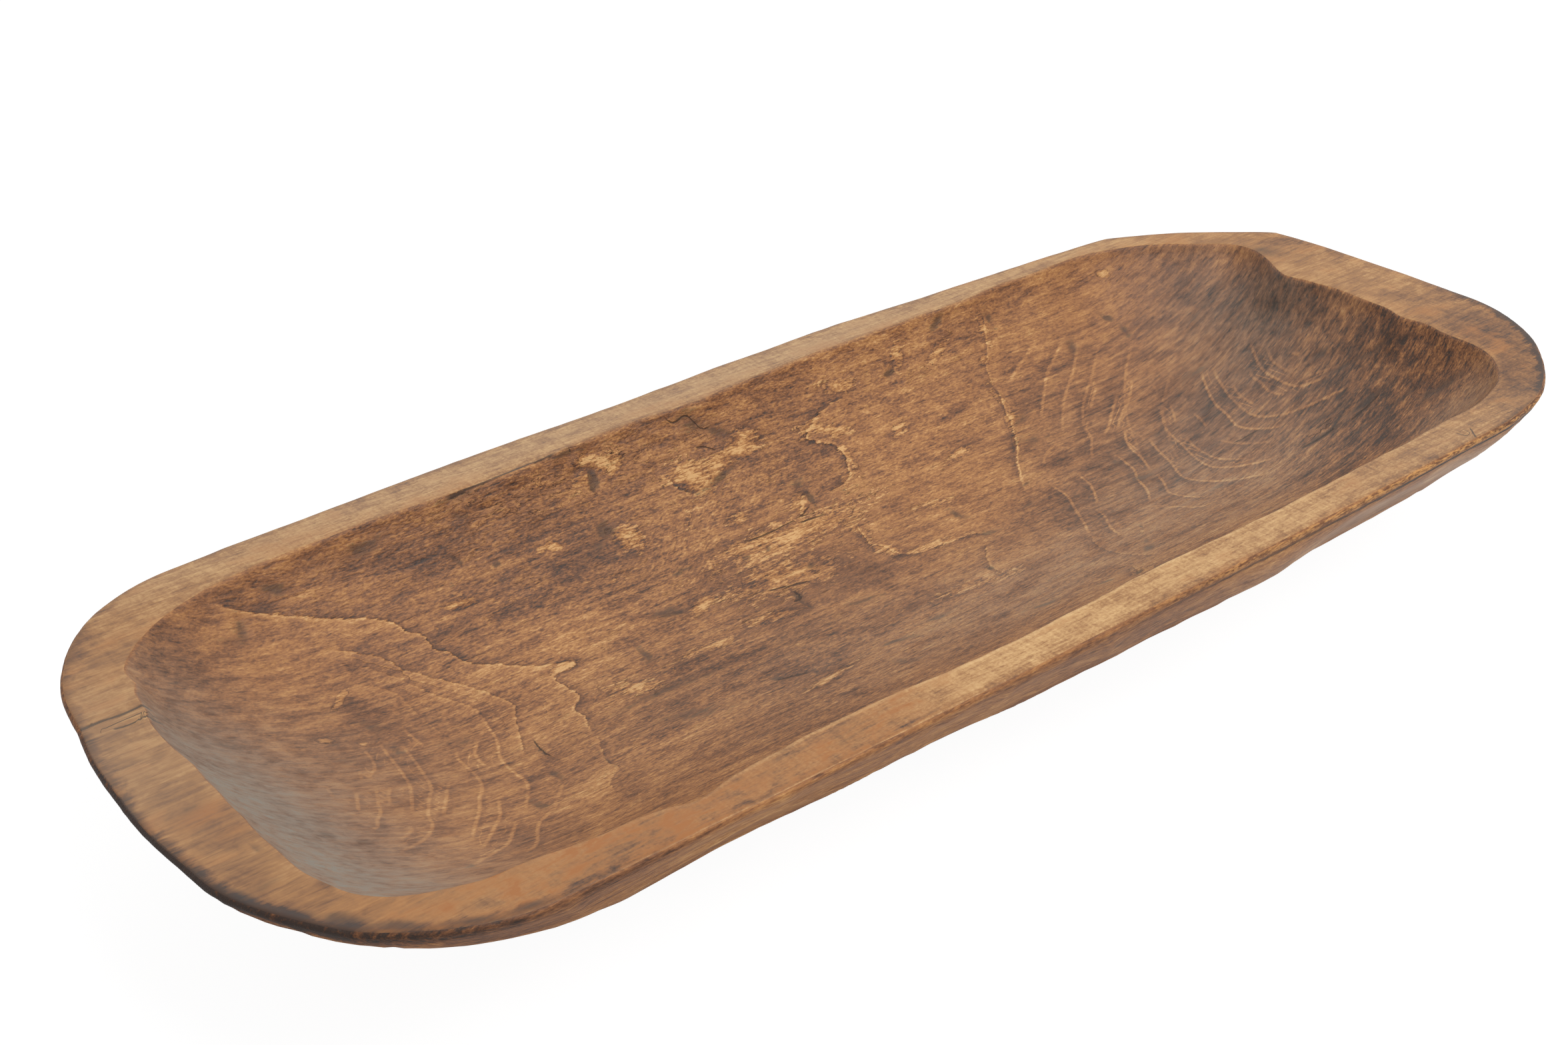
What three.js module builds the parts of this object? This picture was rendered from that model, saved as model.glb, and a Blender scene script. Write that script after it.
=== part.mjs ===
// A long dough bowl hewn from one block of wood, in millimetres, with +Z up.
// The origin is at the middle of the flat foot that it stands on, +X runs along its length,
// and -Y is the side that faces whoever uses it. The -X end is called left here, and -Y near.
import * as THREE from "three";
import { mergeVertices } from "three/addons/utils/BufferGeometryUtils.js";

// The block that the bowl was cut from
const LENGTH = 508;
const WIDTH = 200;
const HEIGHT = 60;

// The wood left on top, from the edge of the block to the mouth of the hollow
const RIM_LEFT = 20.5;
const RIM_RIGHT = 31;
const RIM_NEAR = 13.5;
const RIM_FAR = 14.5;
const FLOOR_THICKNESS = 15;

// The flat that the bowl stands on
const FOOT_LENGTH = 310;
const FOOT_WIDTH = 70;
const FOOT_CORNER = { run: 60, rise: 30, fullness: 2, endFall: 0, sideFall: 0 };

// The outside: how upright the wall stands below the rim, and how round it turns in to the foot
const SIDE_BELLY = { upright: 1.4, round: 1.2 };
const END_BELLY = { upright: 1.25, round: 1.3 };

// The hollow: how far its floor runs straight, how flat the floor is and how steep the wall gets
const STRAIGHT_FLOOR = 230;
const HOLLOW = { flatness: 2.2, steepness: 0.8 };
const FLOOR_PATCH = 0.14;

// The outer edge of the rim is worn off all round
const WORN_EDGE = { in: 1.4, down: 1.6 };

// Each corner of the rim and of the mouth was cut by eye, so no two are alike.
// run is along the bowl, rise across it, and a fullness of 2 is a plain ellipse. The sides bow
// outwards between the corners: endFall and sideFall say how far they have fallen back by then.
const RIM_CORNERS = {
  farRight: { run: 57, rise: 40, fullness: 1.2, endFall: 3, sideFall: 6 },
  farLeft: { run: 66, rise: 94, fullness: 2.35, endFall: 2, sideFall: 4 },
  nearLeft: { run: 61, rise: 66, fullness: 1.73, endFall: 0.3, sideFall: 2.4 },
  nearRight: { run: 80, rise: 70, fullness: 1.87, endFall: 0.3, sideFall: 2.2 },
};
const MOUTH_CORNERS = {
  farRight: { run: 62, rise: 44, fullness: 2.2, endFall: 0, sideFall: 1 },
  farLeft: { run: 72, rise: 52, fullness: 2.2, endFall: 1, sideFall: 4 },
  nearLeft: { run: 66, rise: 44, fullness: 2.4, endFall: 1, sideFall: 3 },
  nearRight: { run: 48, rise: 38, fullness: 2.1, endFall: 1, sideFall: 3 },
};

// How finely the outline and the walls are divided
const CORNER_STEPS = 9;
const SIDE_STEPS = 8;
const END_STEPS = 4;
const WALL_STEPS = 9;
const HOLLOW_STEPS = 11;
// Above 1, these draw the levels together where a wall bends most: at the foot, and at the mouth
const WALL_CROWDING = 1.25;
const HOLLOW_CROWDING = 1.4;

const CORNER_NAMES = ["farRight", "farLeft", "nearLeft", "nearRight"];

// An outline is where it ends on each side, and its four corners
const rim = {
  left: -LENGTH / 2,
  right: LENGTH / 2,
  near: -WIDTH / 2,
  far: WIDTH / 2,
  corners: RIM_CORNERS,
};
const mouth = {
  left: rim.left + RIM_LEFT,
  right: rim.right - RIM_RIGHT,
  near: rim.near + RIM_NEAR,
  far: rim.far - RIM_FAR,
  corners: MOUTH_CORNERS,
};
const foot = {
  left: -FOOT_LENGTH / 2,
  right: FOOT_LENGTH / 2,
  near: -FOOT_WIDTH / 2,
  far: FOOT_WIDTH / 2,
  corners: Object.fromEntries(CORNER_NAMES.map((name) => [name, FOOT_CORNER])),
};
// The lowest line of the hollow, which every level of it closes in on
const keel = {
  left: -STRAIGHT_FLOOR / 2,
  right: STRAIGHT_FLOOR / 2,
  near: (mouth.near + mouth.far) / 2,
  far: (mouth.near + mouth.far) / 2,
  corners: Object.fromEntries(
    CORNER_NAMES.map((name) => [name, { ...MOUTH_CORNERS[name], run: 0, rise: 0, endFall: 0, sideFall: 0 }]),
  ),
};

// The outline that lies between two others: along says how far lengthways, across how far sideways
function between(from, to, along, across) {
  const mix = THREE.MathUtils.lerp;
  const corner = (name) => ({
    run: mix(from.corners[name].run, to.corners[name].run, along),
    rise: mix(from.corners[name].rise, to.corners[name].rise, across),
    fullness: mix(from.corners[name].fullness, to.corners[name].fullness, across),
    endFall: mix(from.corners[name].endFall, to.corners[name].endFall, along),
    sideFall: mix(from.corners[name].sideFall, to.corners[name].sideFall, across),
  });
  return {
    left: mix(from.left, to.left, along),
    right: mix(from.right, to.right, along),
    near: mix(from.near, to.near, across),
    far: mix(from.far, to.far, across),
    corners: Object.fromEntries(CORNER_NAMES.map((name) => [name, corner(name)])),
  };
}

// An outline drawn in by the same distance all round, as the worn edge is
function drawnIn(outline, distance) {
  const corners = Object.fromEntries(
    CORNER_NAMES.map((name) => [
      name,
      {
        ...outline.corners[name],
        run: outline.corners[name].run - distance,
        rise: outline.corners[name].rise - distance,
      },
    ]),
  );
  return {
    left: outline.left + distance,
    right: outline.right - distance,
    near: outline.near + distance,
    far: outline.far - distance,
    corners,
  };
}

// One corner as a quarter of a superellipse, from the end of the bowl round to its long side
function cornerPoints(outline, name) {
  const toRight = name.endsWith("Right") ? 1 : -1;
  const toFar = name.startsWith("far") ? 1 : -1;
  const { run, rise, fullness, endFall, sideFall } = outline.corners[name];
  const end = toRight > 0 ? outline.right : outline.left;
  const side = toFar > 0 ? outline.far : outline.near;
  const centreX = end - toRight * (run + endFall);
  const centreY = side - toFar * (rise + sideFall);
  const points = [];
  for (let step = 0; step <= CORNER_STEPS; step++) {
    const turn = (step / CORNER_STEPS) * (Math.PI / 2);
    const out = Math.cos(turn) ** (2 / fullness);
    const up = Math.sin(turn) ** (2 / fullness);
    points.push(new THREE.Vector2(centreX + toRight * run * out, centreY + toFar * rise * up));
  }
  return points;
}

// The points strictly between two corners, on a side that bows out until it touches its reach.
// axis is the one that the side faces along.
function sidePoints(from, to, steps, axis, reach) {
  const outward = Math.sign(reach);
  const rootFrom = Math.sqrt(Math.abs(reach - from[axis]));
  const rootTo = Math.sqrt(Math.abs(reach - to[axis]));
  const points = [];
  for (let step = 1; step < steps; step++) {
    const share = step / steps;
    const point = from.clone().lerp(to, share);
    const fall = ((1 - share) * rootFrom - share * rootTo) ** 2;
    point[axis] = reach - outward * fall;
    points.push(point);
  }
  return points;
}

// The whole outline, anticlockwise seen from above, with as many points at every level
function outlinePoints(outline) {
  const farRight = cornerPoints(outline, "farRight");
  const farLeft = cornerPoints(outline, "farLeft").reverse();
  const nearLeft = cornerPoints(outline, "nearLeft");
  const nearRight = cornerPoints(outline, "nearRight").reverse();
  const last = CORNER_STEPS;
  return [
    ...farRight,
    ...sidePoints(farRight[last], farLeft[0], SIDE_STEPS, "y", outline.far),
    ...farLeft,
    ...sidePoints(farLeft[last], nearLeft[0], END_STEPS, "x", outline.left),
    ...nearLeft,
    ...sidePoints(nearLeft[last], nearRight[0], SIDE_STEPS, "y", outline.near),
    ...nearRight,
    ...sidePoints(nearRight[last], farRight[0], END_STEPS, "x", outline.right),
  ];
}

// How far out the outside wall has come, from 0 at the foot to 1 at the rim, at a share of the height
function belly({ upright, round }, share) {
  return (1 - (1 - share) ** upright) ** (1 / round);
}

// The outside, level by level from the foot up to the worn edge of the rim
function outsideLevels() {
  const levels = [];
  for (let step = 0; step <= WALL_STEPS; step++) {
    const share = (step / WALL_STEPS) ** WALL_CROWDING;
    const outline = between(foot, rim, belly(END_BELLY, share), belly(SIDE_BELLY, share));
    levels.push({ outline, z: share * (HEIGHT - WORN_EDGE.down) });
  }
  levels.push({ outline: drawnIn(rim, WORN_EDGE.in), z: HEIGHT });
  return levels;
}

// The hollow, from its mouth down to a small level patch in the middle of its floor
function hollowLevels() {
  const depth = HEIGHT - FLOOR_THICKNESS;
  const patchSink = (1 - FLOOR_PATCH ** HOLLOW.flatness) ** HOLLOW.steepness;
  const levels = [];
  for (let step = 0; step <= HOLLOW_STEPS; step++) {
    const down = (step / HOLLOW_STEPS) ** HOLLOW_CROWDING;
    const reach = 1 - (1 - FLOOR_PATCH) * down;
    const sink = (1 - reach ** HOLLOW.flatness) ** HOLLOW.steepness / patchSink;
    levels.push({ outline: between(keel, mouth, reach, reach), z: HEIGHT - depth * sink });
  }
  return levels;
}

// One closed skin through all the levels, with a flat face over the first and the last
function skinThrough(levels) {
  const rings = levels.map(({ outline, z }) => outlinePoints(outline).map((p) => new THREE.Vector3(p.x, p.y, z)));
  const count = rings[0].length;
  const positions = rings.flat().flatMap((p) => p.toArray());
  const faces = [];
  for (let level = 0; level + 1 < rings.length; level++) {
    for (let i = 0; i < count; i++) {
      const next = (i + 1) % count;
      const low = level * count;
      const high = low + count;
      faces.push(low + i, low + next, high + next);
      faces.push(low + i, high + next, high + i);
    }
  }
  const flatFaces = (ring) =>
    THREE.ShapeUtils.triangulateShape(
      ring.map((p) => new THREE.Vector2(p.x, p.y)),
      [],
    );
  const top = (rings.length - 1) * count;
  for (const [a, b, c] of flatFaces(rings[0])) faces.push(a, c, b);
  for (const [a, b, c] of flatFaces(rings.at(-1))) faces.push(top + a, top + b, top + c);

  const geometry = new THREE.BufferGeometry();
  geometry.setAttribute("position", new THREE.Float32BufferAttribute(positions, 3));
  geometry.setIndex(faces);
  const skin = mergeVertices(geometry);
  skin.computeVertexNormals();
  return skin;
}

// The bowl itself: one piece of stained wood, so its outside, rim and hollow are one body
function carvedBowl() {
  const wood = new THREE.MeshStandardMaterial({ color: 0x83502b, roughness: 0.6, metalness: 0 });
  const bowl = new THREE.Mesh(skinThrough([...outsideLevels(), ...hollowLevels()]), wood);
  bowl.name = "carved_bowl";
  return bowl;
}

const doughBowl = new THREE.Group();
doughBowl.name = "dough_bowl";
doughBowl.add(carvedBowl());

export default doughBowl;
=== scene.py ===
# %% [markdown]
# A dough bowl hewn from one block of wood
# The bowl is a single piece of wood: a long oblong block with rounded corners, sawn level on top, hewn
# hollow with an adze, rough on the outside and stained brown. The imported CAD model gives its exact
# shape. This lesson builds the wood that shows on it: one fine mesh on the same outlines, with tool
# marks, torn grain and drying cracks, and materials whose detail comes from nodes.
# Lengths are in millimetres while the surface is worked out, and the finished mesh is in metres.

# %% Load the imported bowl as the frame
import itertools
import math

import bmesh
import bpy
import numpy as np
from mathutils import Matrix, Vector


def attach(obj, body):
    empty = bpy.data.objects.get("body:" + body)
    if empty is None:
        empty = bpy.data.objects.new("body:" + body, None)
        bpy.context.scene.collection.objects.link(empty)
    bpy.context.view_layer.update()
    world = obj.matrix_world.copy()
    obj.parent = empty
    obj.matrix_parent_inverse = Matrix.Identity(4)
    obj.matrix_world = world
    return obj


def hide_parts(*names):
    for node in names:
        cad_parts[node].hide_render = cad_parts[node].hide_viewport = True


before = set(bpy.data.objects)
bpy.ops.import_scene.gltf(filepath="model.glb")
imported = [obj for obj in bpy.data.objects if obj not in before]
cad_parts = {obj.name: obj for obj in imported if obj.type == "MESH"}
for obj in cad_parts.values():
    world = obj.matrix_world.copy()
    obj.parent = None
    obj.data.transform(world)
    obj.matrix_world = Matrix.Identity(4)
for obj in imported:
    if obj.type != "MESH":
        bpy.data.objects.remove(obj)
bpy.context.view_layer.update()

# %% [markdown]
# ## The camera
# The photograph shows the bowl from its near left corner, a little less than 30 degrees down, with the
# drawing of a 50 mm lens. The camera comes first, because every later choice is judged through it.

# %% Make the camera
CAMERA_PLACE = Vector((-0.4030, -0.4244, 0.3758))
CAMERA_HEADING = Vector((0.6453, 0.7640, 0.0))
CAMERA_DIP = math.radians(29.467)
LENS_LENGTH, SENSOR_WIDTH = 50.0, 36.0
CLOSEST_SEEN = 0.01

lens = bpy.data.cameras.new("view_camera")
lens.lens = LENS_LENGTH
lens.sensor_width = SENSOR_WIDTH
lens.sensor_fit = "HORIZONTAL"
lens.clip_start = CLOSEST_SEEN
view_camera = bpy.data.objects.new("view_camera", lens)
bpy.context.collection.objects.link(view_camera)
looking = CAMERA_HEADING.normalized() * math.cos(CAMERA_DIP)
looking -= Vector((0, 0, 1)) * math.sin(CAMERA_DIP)
view_camera.location = CAMERA_PLACE
view_camera.rotation_euler = looking.to_track_quat("-Z", "Y").to_euler()
bpy.context.scene.camera = view_camera
bpy.context.scene.view_settings.view_transform = "Standard"
print("camera at", [round(v, 3) for v in view_camera.location], "looking", [round(v, 3) for v in looking])

# %% [markdown]
# ## The bowl's measures
# These are the sizes that the bowl was drawn with. Repeating them here lets the fine mesh follow the
# same outlines, so that it lies on the CAD solid everywhere.

# %% The sizes of the block, the hollow and the foot
MM = 0.001
LENGTH, WIDTH, HEIGHT = 508.0, 200.0, 60.0
RIM_LEFT, RIM_RIGHT, RIM_NEAR, RIM_FAR = 20.5, 31.0, 13.5, 14.5
FLOOR_THICKNESS = 15.0
FOOT_LENGTH, FOOT_WIDTH = 310.0, 70.0
STRAIGHT_FLOOR = 230.0
WORN_EDGE_IN, WORN_EDGE_DOWN = 1.4, 1.6

# How upright each outside wall stands below the rim, and how round it turns in to the foot
SIDE_BELLY = (1.4, 1.2)
END_BELLY = (1.25, 1.3)

# How flat the hollow's floor is, how steep its wall gets, and how small the level patch in its middle is
HOLLOW_FLATNESS, HOLLOW_STEEPNESS, FLOOR_PATCH = 2.2, 0.8, 0.14

# %% [markdown]
# ## Outlines
# An outline is a level line round the bowl: four reaches (left, right, near, far) and four corners. A
# corner has a run, a rise, a fullness (2 is a plain ellipse), an end fall and a side fall. Between two
# corners the side bows out until it touches its reach.

# %% Corners of the rim, the mouth and the foot
# The order is far right, far left, near left, near right, which is anticlockwise seen from above
CORNER_SIDES = ((1, 1), (-1, 1), (-1, -1), (1, -1))
RIM_CORNERS = np.array((
    (57, 40, 1.2, 3, 6),
    (66, 94, 2.35, 2, 4),
    (61, 66, 1.73, 0.3, 2.4),
    (80, 70, 1.87, 0.3, 2.2),
))
MOUTH_CORNERS = np.array((
    (62, 44, 2.2, 0, 1),
    (72, 52, 2.2, 1, 4),
    (66, 44, 2.4, 1, 3),
    (48, 38, 2.1, 1, 3),
))
FOOT_CORNERS = np.array([(60, 30, 2, 0, 0)] * 4, float)
# Picks a corner's fullness alone, for the lines that an outline closes in on
FULLNESS_ONLY = (0, 0, 1, 0, 0)


def outline(left, right, near, far, corners):
    """An outline from its four reaches and its corners."""
    return {"reach": np.array((left, right, near, far), float), "corners": np.array(corners, float)}


rim = outline(-LENGTH / 2, LENGTH / 2, -WIDTH / 2, WIDTH / 2, RIM_CORNERS)
mouth = outline(
    -LENGTH / 2 + RIM_LEFT, LENGTH / 2 - RIM_RIGHT, -WIDTH / 2 + RIM_NEAR, WIDTH / 2 - RIM_FAR, MOUTH_CORNERS
)
foot = outline(-FOOT_LENGTH / 2, FOOT_LENGTH / 2, -FOOT_WIDTH / 2, FOOT_WIDTH / 2, FOOT_CORNERS)
mouth_middle = (mouth["reach"][2] + mouth["reach"][3]) / 2
keel_corners = MOUTH_CORNERS * FULLNESS_ONLY
keel = outline(-STRAIGHT_FLOOR / 2, STRAIGHT_FLOOR / 2, mouth_middle, mouth_middle, keel_corners)
foot_line_end = (FOOT_LENGTH - FOOT_WIDTH) / 2
foot_line = outline(-foot_line_end, foot_line_end, 0, 0, FOOT_CORNERS * FULLNESS_ONLY)
print("rim reaches", rim["reach"], "mouth reaches", mouth["reach"])

# %% Lines between outlines
ALONG = np.array((1, 0, 0, 1, 0))


def between(inner, outer, along, across):
    """The outline part of the way out: along for lengths on the long axis, across for those over it."""
    reach_share = np.array((along, along, across, across))
    corner_share = np.where(ALONG, along, across)
    return {
        "reach": inner["reach"] + (outer["reach"] - inner["reach"]) * reach_share,
        "corners": inner["corners"] + (outer["corners"] - inner["corners"]) * corner_share,
    }


def drawn_in(line, distance):
    """The outline brought in by the same distance all round."""
    return {
        "reach": line["reach"] + np.array((1, -1, 1, -1)) * distance,
        "corners": line["corners"] - np.array((1, 1, 0, 0, 0)) * distance,
    }


# %% Points along an outline
CORNER_STEPS, LONG_STEPS, END_STEPS = 160, 150, 60


def corner_curve(line, number):
    """One corner as a quarter of a superellipse, from the end of the bowl round to its long side."""
    to_right, to_far = CORNER_SIDES[number]
    run, rise, fullness, end_fall, side_fall = line["corners"][number]
    end = line["reach"][1 if to_right > 0 else 0]
    side = line["reach"][3 if to_far > 0 else 2]
    turn = np.linspace(0, math.pi / 2, CORNER_STEPS + 1)
    out = np.clip(np.cos(turn), 0, 1) ** (2 / fullness)
    up = np.clip(np.sin(turn), 0, 1) ** (2 / fullness)
    x = end - to_right * (run + end_fall) + to_right * run * out
    y = side - to_far * (rise + side_fall) + to_far * rise * up
    return np.stack([x, y], axis=1)


def bowed_side(start, stop, steps, axis, reach):
    """The points strictly between two corners, on a side that bows out until it touches its reach."""
    share = np.linspace(0, 1, steps + 1)[1:-1]
    root_start = math.sqrt(abs(reach - start[axis]))
    root_stop = math.sqrt(abs(reach - stop[axis]))
    points = start + (stop - start) * share[:, None]
    outward = math.copysign(1, reach - mouth_middle if axis else reach)
    points[:, axis] = reach - outward * ((1 - share) * root_start - share * root_stop) ** 2
    return points


def whole_curve(line):
    """All the points of an outline, anticlockwise seen from above, starting at the far right corner."""
    far_right, far_left, near_left, near_right = [corner_curve(line, number) for number in range(4)]
    far_left = far_left[::-1]
    near_right = near_right[::-1]
    left, right, near, far = line["reach"]
    return np.concatenate([
        far_right,
        bowed_side(far_right[-1], far_left[0], LONG_STEPS, 1, far),
        far_left,
        bowed_side(far_left[-1], near_left[0], END_STEPS, 0, left),
        near_left,
        bowed_side(near_left[-1], near_right[0], LONG_STEPS, 1, near),
        near_right,
        bowed_side(near_right[-1], far_right[0], END_STEPS, 0, right),
    ])


print("points on the rim's outline:", len(whole_curve(rim)))

# %% [markdown]
# ## Levels
# The whole skin is a stack of outlines: out from the middle of the foot, up the outside wall, over the
# worn edge, across the sawn rim and down into the hollow. One skin keeps the wood in one piece, as it is.
# The levels are spaced by the length of the slope, so no part of the mesh is finer than it needs.

# %% The outside wall and the hollow as functions of one share
def belly(shape, share):
    """How far out the outside wall has come, from 0 at the foot to 1 at the rim."""
    upright, roundness = shape
    return (1 - (1 - share) ** upright) ** (1 / roundness)


def outside_level(share):
    """The outside wall's outline and height, from the foot at 0 to the worn edge at 1."""
    line = between(foot, rim, belly(END_BELLY, share), belly(SIDE_BELLY, share))
    return line, share * (HEIGHT - WORN_EDGE_DOWN)


def hollow_level(share):
    """The hollow's outline and height, from its mouth at 0 to the middle of its floor at 1."""
    reach = 1 - share
    patch_sink = (1 - FLOOR_PATCH ** HOLLOW_FLATNESS) ** HOLLOW_STEEPNESS
    sink = min(1, (1 - reach ** HOLLOW_FLATNESS) ** HOLLOW_STEEPNESS / patch_sink)
    return between(keel, mouth, reach, reach), HEIGHT - (HEIGHT - FLOOR_THICKNESS) * sink


def foot_level(share):
    """The flat foot, from its middle line at 0 to its edge at 1."""
    return between(foot_line, foot, share, share), 0.0


TRIAL_LEVELS = 160


def even_shares(level_at, start, stop, spacing):
    """Shares between start and stop whose levels lie the same distance apart down the slope."""
    trial = np.linspace(start, stop, TRIAL_LEVELS)
    curves = []
    for share in trial:
        line, height = level_at(share)
        flat = whole_curve(line)
        curves.append(np.column_stack([flat, np.full(len(flat), height)]))
    gaps = np.linalg.norm(np.diff(np.array(curves), axis=0), axis=2).mean(axis=1)
    run = np.concatenate([[0], np.cumsum(gaps)])
    count = max(1, round(run[-1] / spacing))
    return np.interp(np.linspace(0, run[-1], count + 1), run, trial)


# %% Stack the levels
FOOT_SPACING, WALL_SPACING, RIM_SPACING, HOLLOW_SPACING = 6.0, 2.3, 1.7, 1.4
FOOT_ZONE, WALL_ZONE, RIM_ZONE, HOLLOW_ZONE = 0, 1, 2, 3
MOUTH_ROUNDING = 0.7
HALF_ROUNDED_IN, HALF_ROUNDED_DOWN = 0.3, 0.15
EDGE_STEPS = 4
FOOT_START, HOLLOW_START, HOLLOW_END = 0.1, 0.004, 0.97

levels = []
for share in even_shares(foot_level, FOOT_START, 1, FOOT_SPACING)[:-1]:
    levels.append((*foot_level(share), FOOT_SPACING, FOOT_ZONE, share))
for share in even_shares(outside_level, 0, 1, WALL_SPACING):
    levels.append((*outside_level(share), WALL_SPACING, WALL_ZONE, share))
for step in range(1, EDGE_STEPS + 1):
    turn = step / EDGE_STEPS * math.pi / 2
    worn = drawn_in(rim, WORN_EDGE_IN * (1 - math.cos(turn)))
    height = HEIGHT - WORN_EDGE_DOWN * (1 - math.sin(turn))
    levels.append((worn, height, RIM_SPACING, WALL_ZONE if step < EDGE_STEPS else RIM_ZONE, 0))
rim_edge = drawn_in(rim, WORN_EDGE_IN)
mouth_edge = drawn_in(mouth, -MOUTH_ROUNDING)
rim_steps = round((RIM_LEFT + RIM_RIGHT + RIM_NEAR + RIM_FAR) / 4 / RIM_SPACING)
for step in range(1, rim_steps + 1):
    share = step / rim_steps
    levels.append((between(rim_edge, mouth_edge, share, share), HEIGHT, RIM_SPACING, RIM_ZONE, share))
half_rounded = drawn_in(mouth, -MOUTH_ROUNDING * HALF_ROUNDED_IN)
levels.append((half_rounded, HEIGHT - MOUTH_ROUNDING * HALF_ROUNDED_DOWN, HOLLOW_SPACING, RIM_ZONE, 1))
for share in even_shares(hollow_level, HOLLOW_START, HOLLOW_END, HOLLOW_SPACING):
    levels.append((*hollow_level(share), HOLLOW_SPACING, HOLLOW_ZONE, share))
print("levels from the foot to the floor of the hollow:", len(levels))

# %% [markdown]
# ## One skin through all the levels
# Each level gets as many points as its length needs, so two neighbours rarely have the same number.
# They are joined by walking round both at once and always stepping on the one that is behind.

# %% Points of one level, evenly spaced
FEWEST_POINTS = 24


def evenly_round(line, spacing):
    """Points of an outline at even distances, and each one's share of the way round it."""
    curve = whole_curve(line)
    closed = np.concatenate([curve, curve[:1]])
    run = np.concatenate([[0], np.cumsum(np.linalg.norm(np.diff(closed, axis=0), axis=1))])
    count = max(FEWEST_POINTS, round(run[-1] / spacing))
    places = np.arange(count) * run[-1] / count
    share = np.interp(places, run, np.arange(len(closed)) / len(curve))
    return np.column_stack([np.interp(places, run, closed[:, axis]) for axis in (0, 1)]), share


def joined(first, first_shares, second, second_shares):
    """The triangles between two levels, by the numbers of their first points."""
    first_count = len(first_shares)
    second_count = len(second_shares)
    steps = np.concatenate([first_shares[1:], [1.0], second_shares[1:], [1.0]])
    order = np.argsort(steps, kind="stable")
    on_first = order < first_count
    done_first = np.cumsum(on_first) - on_first
    done_second = np.cumsum(~on_first) - ~on_first
    a = first + done_first % first_count
    b = second + done_second % second_count
    next_a = first + (done_first + 1) % first_count
    next_b = second + (done_second + 1) % second_count
    return np.where(on_first[:, None], np.stack([a, next_a, b], 1), np.stack([a, next_b, b], 1))


# %% Build the plain skin
points = []
shares_round = []
zones = []
level_shares = []
triangles = []
triangle_zones = []
starts = []
for line, height, spacing, zone, share in levels:
    flat, round_share = evenly_round(line, spacing)
    start = starts[-1] + len(points[-1]) if points else 0
    if points:
        strip = joined(starts[-1], shares_round[-1], start, round_share)
        triangles.append(strip)
        triangle_zones.append(np.full(len(strip), zone))
    starts.append(start)
    points.append(np.column_stack([flat, np.full(len(flat), height)]))
    shares_round.append(round_share)
    zones.append(np.full(len(flat), zone))
    level_shares.append(np.full(len(flat), share))
base = np.concatenate(points)
zone = np.concatenate(zones)
level_share = np.concatenate(level_shares)
triangles = np.concatenate(triangles)
triangle_zones = np.concatenate(triangle_zones)
first_ring = np.arange(len(points[0]))
last_ring = np.arange(starts[-1], len(base))
print("points", len(base), "triangles", len(triangles))

# %% Directions out of the wood
# Lengths are kept above these before anything is divided by them
TINY, SMALL = 1e-9, 1e-6


def outward(places, faces):
    """The direction out of the wood at each point, from the triangles round it."""
    a, b, c = (places[faces[:, corner]] for corner in range(3))
    face_directions = np.cross(b - a, c - a)
    total = np.zeros_like(places)
    for corner in range(3):
        np.add.at(total, faces[:, corner], face_directions)
    return total / np.maximum(np.linalg.norm(total, axis=1, keepdims=True), TINY)


in_hollow = zone == HOLLOW_ZONE
on_rim = zone == RIM_ZONE
on_wall = zone == WALL_ZONE
print("points in the hollow", in_hollow.sum(), "on the rim", on_rim.sum(), "on the wall", on_wall.sum())

# %% [markdown]
# ## Wood has no straight line in it
# Tool marks, torn fibres and growth rings are uneven, and stretched along the grain. Seeded gradient
# noise gives that unevenness, and comes out the same on every run.

# %% Seeded noise for the surface
NOISE_SLOPES = 256
NOISE_GAIN = 1.7


def rough(places, size, seed):
    """Smooth noise from about -1 to 1 whose bumps have the given length, width and height."""
    picker = np.random.default_rng(seed)
    order = picker.permutation(NOISE_SLOPES)
    slopes = picker.normal(size=(NOISE_SLOPES, 3))
    slopes /= np.linalg.norm(slopes, axis=1, keepdims=True)
    scaled = places / np.array(size)
    cell = np.floor(scaled).astype(int)
    part = scaled - cell
    fade = part ** 3 * (part * (part * 6 - 15) + 10)
    total = np.zeros(len(places))
    for corner in itertools.product((0, 1), repeat=3):
        x, y, z = (cell + corner).T % NOISE_SLOPES
        pick = (order[(order[x] + y) % NOISE_SLOPES] + z) % NOISE_SLOPES
        slope = slopes[order[pick]]
        weight = np.where(corner, fade, 1 - fade).prod(axis=1)
        total += weight * (slope * (part - corner)).sum(axis=1)
    return total * NOISE_GAIN


def layered(places, size, seed, layers, keep):
    """Noise with finer and finer bumps added, each layer keeping a share of the last one's height."""
    total = np.zeros(len(places))
    for layer in range(layers):
        total += keep ** layer * rough(places, np.array(size) / 2 ** layer, seed + layer)
    return total


def bumpy(places, bumps):
    """The sum of several noises, each with its height, the size of its bumps and its seed."""
    return sum(height * rough(places, size, seed) for height, size, seed in bumps)


def ramp(values, low, high):
    """0 below low, 1 above high and a soft step between them."""
    share = np.clip((values - low) / (high - low), 0, 1)
    return share * share * (3 - 2 * share)


# %% [markdown]
# ## Edges cut by eye
# The rim, the mouth and the wall stray from their outlines by a few millimetres where the saw or the adze
# went off the line. Most of all, the mouth was cut wide at its far right corner.

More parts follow.
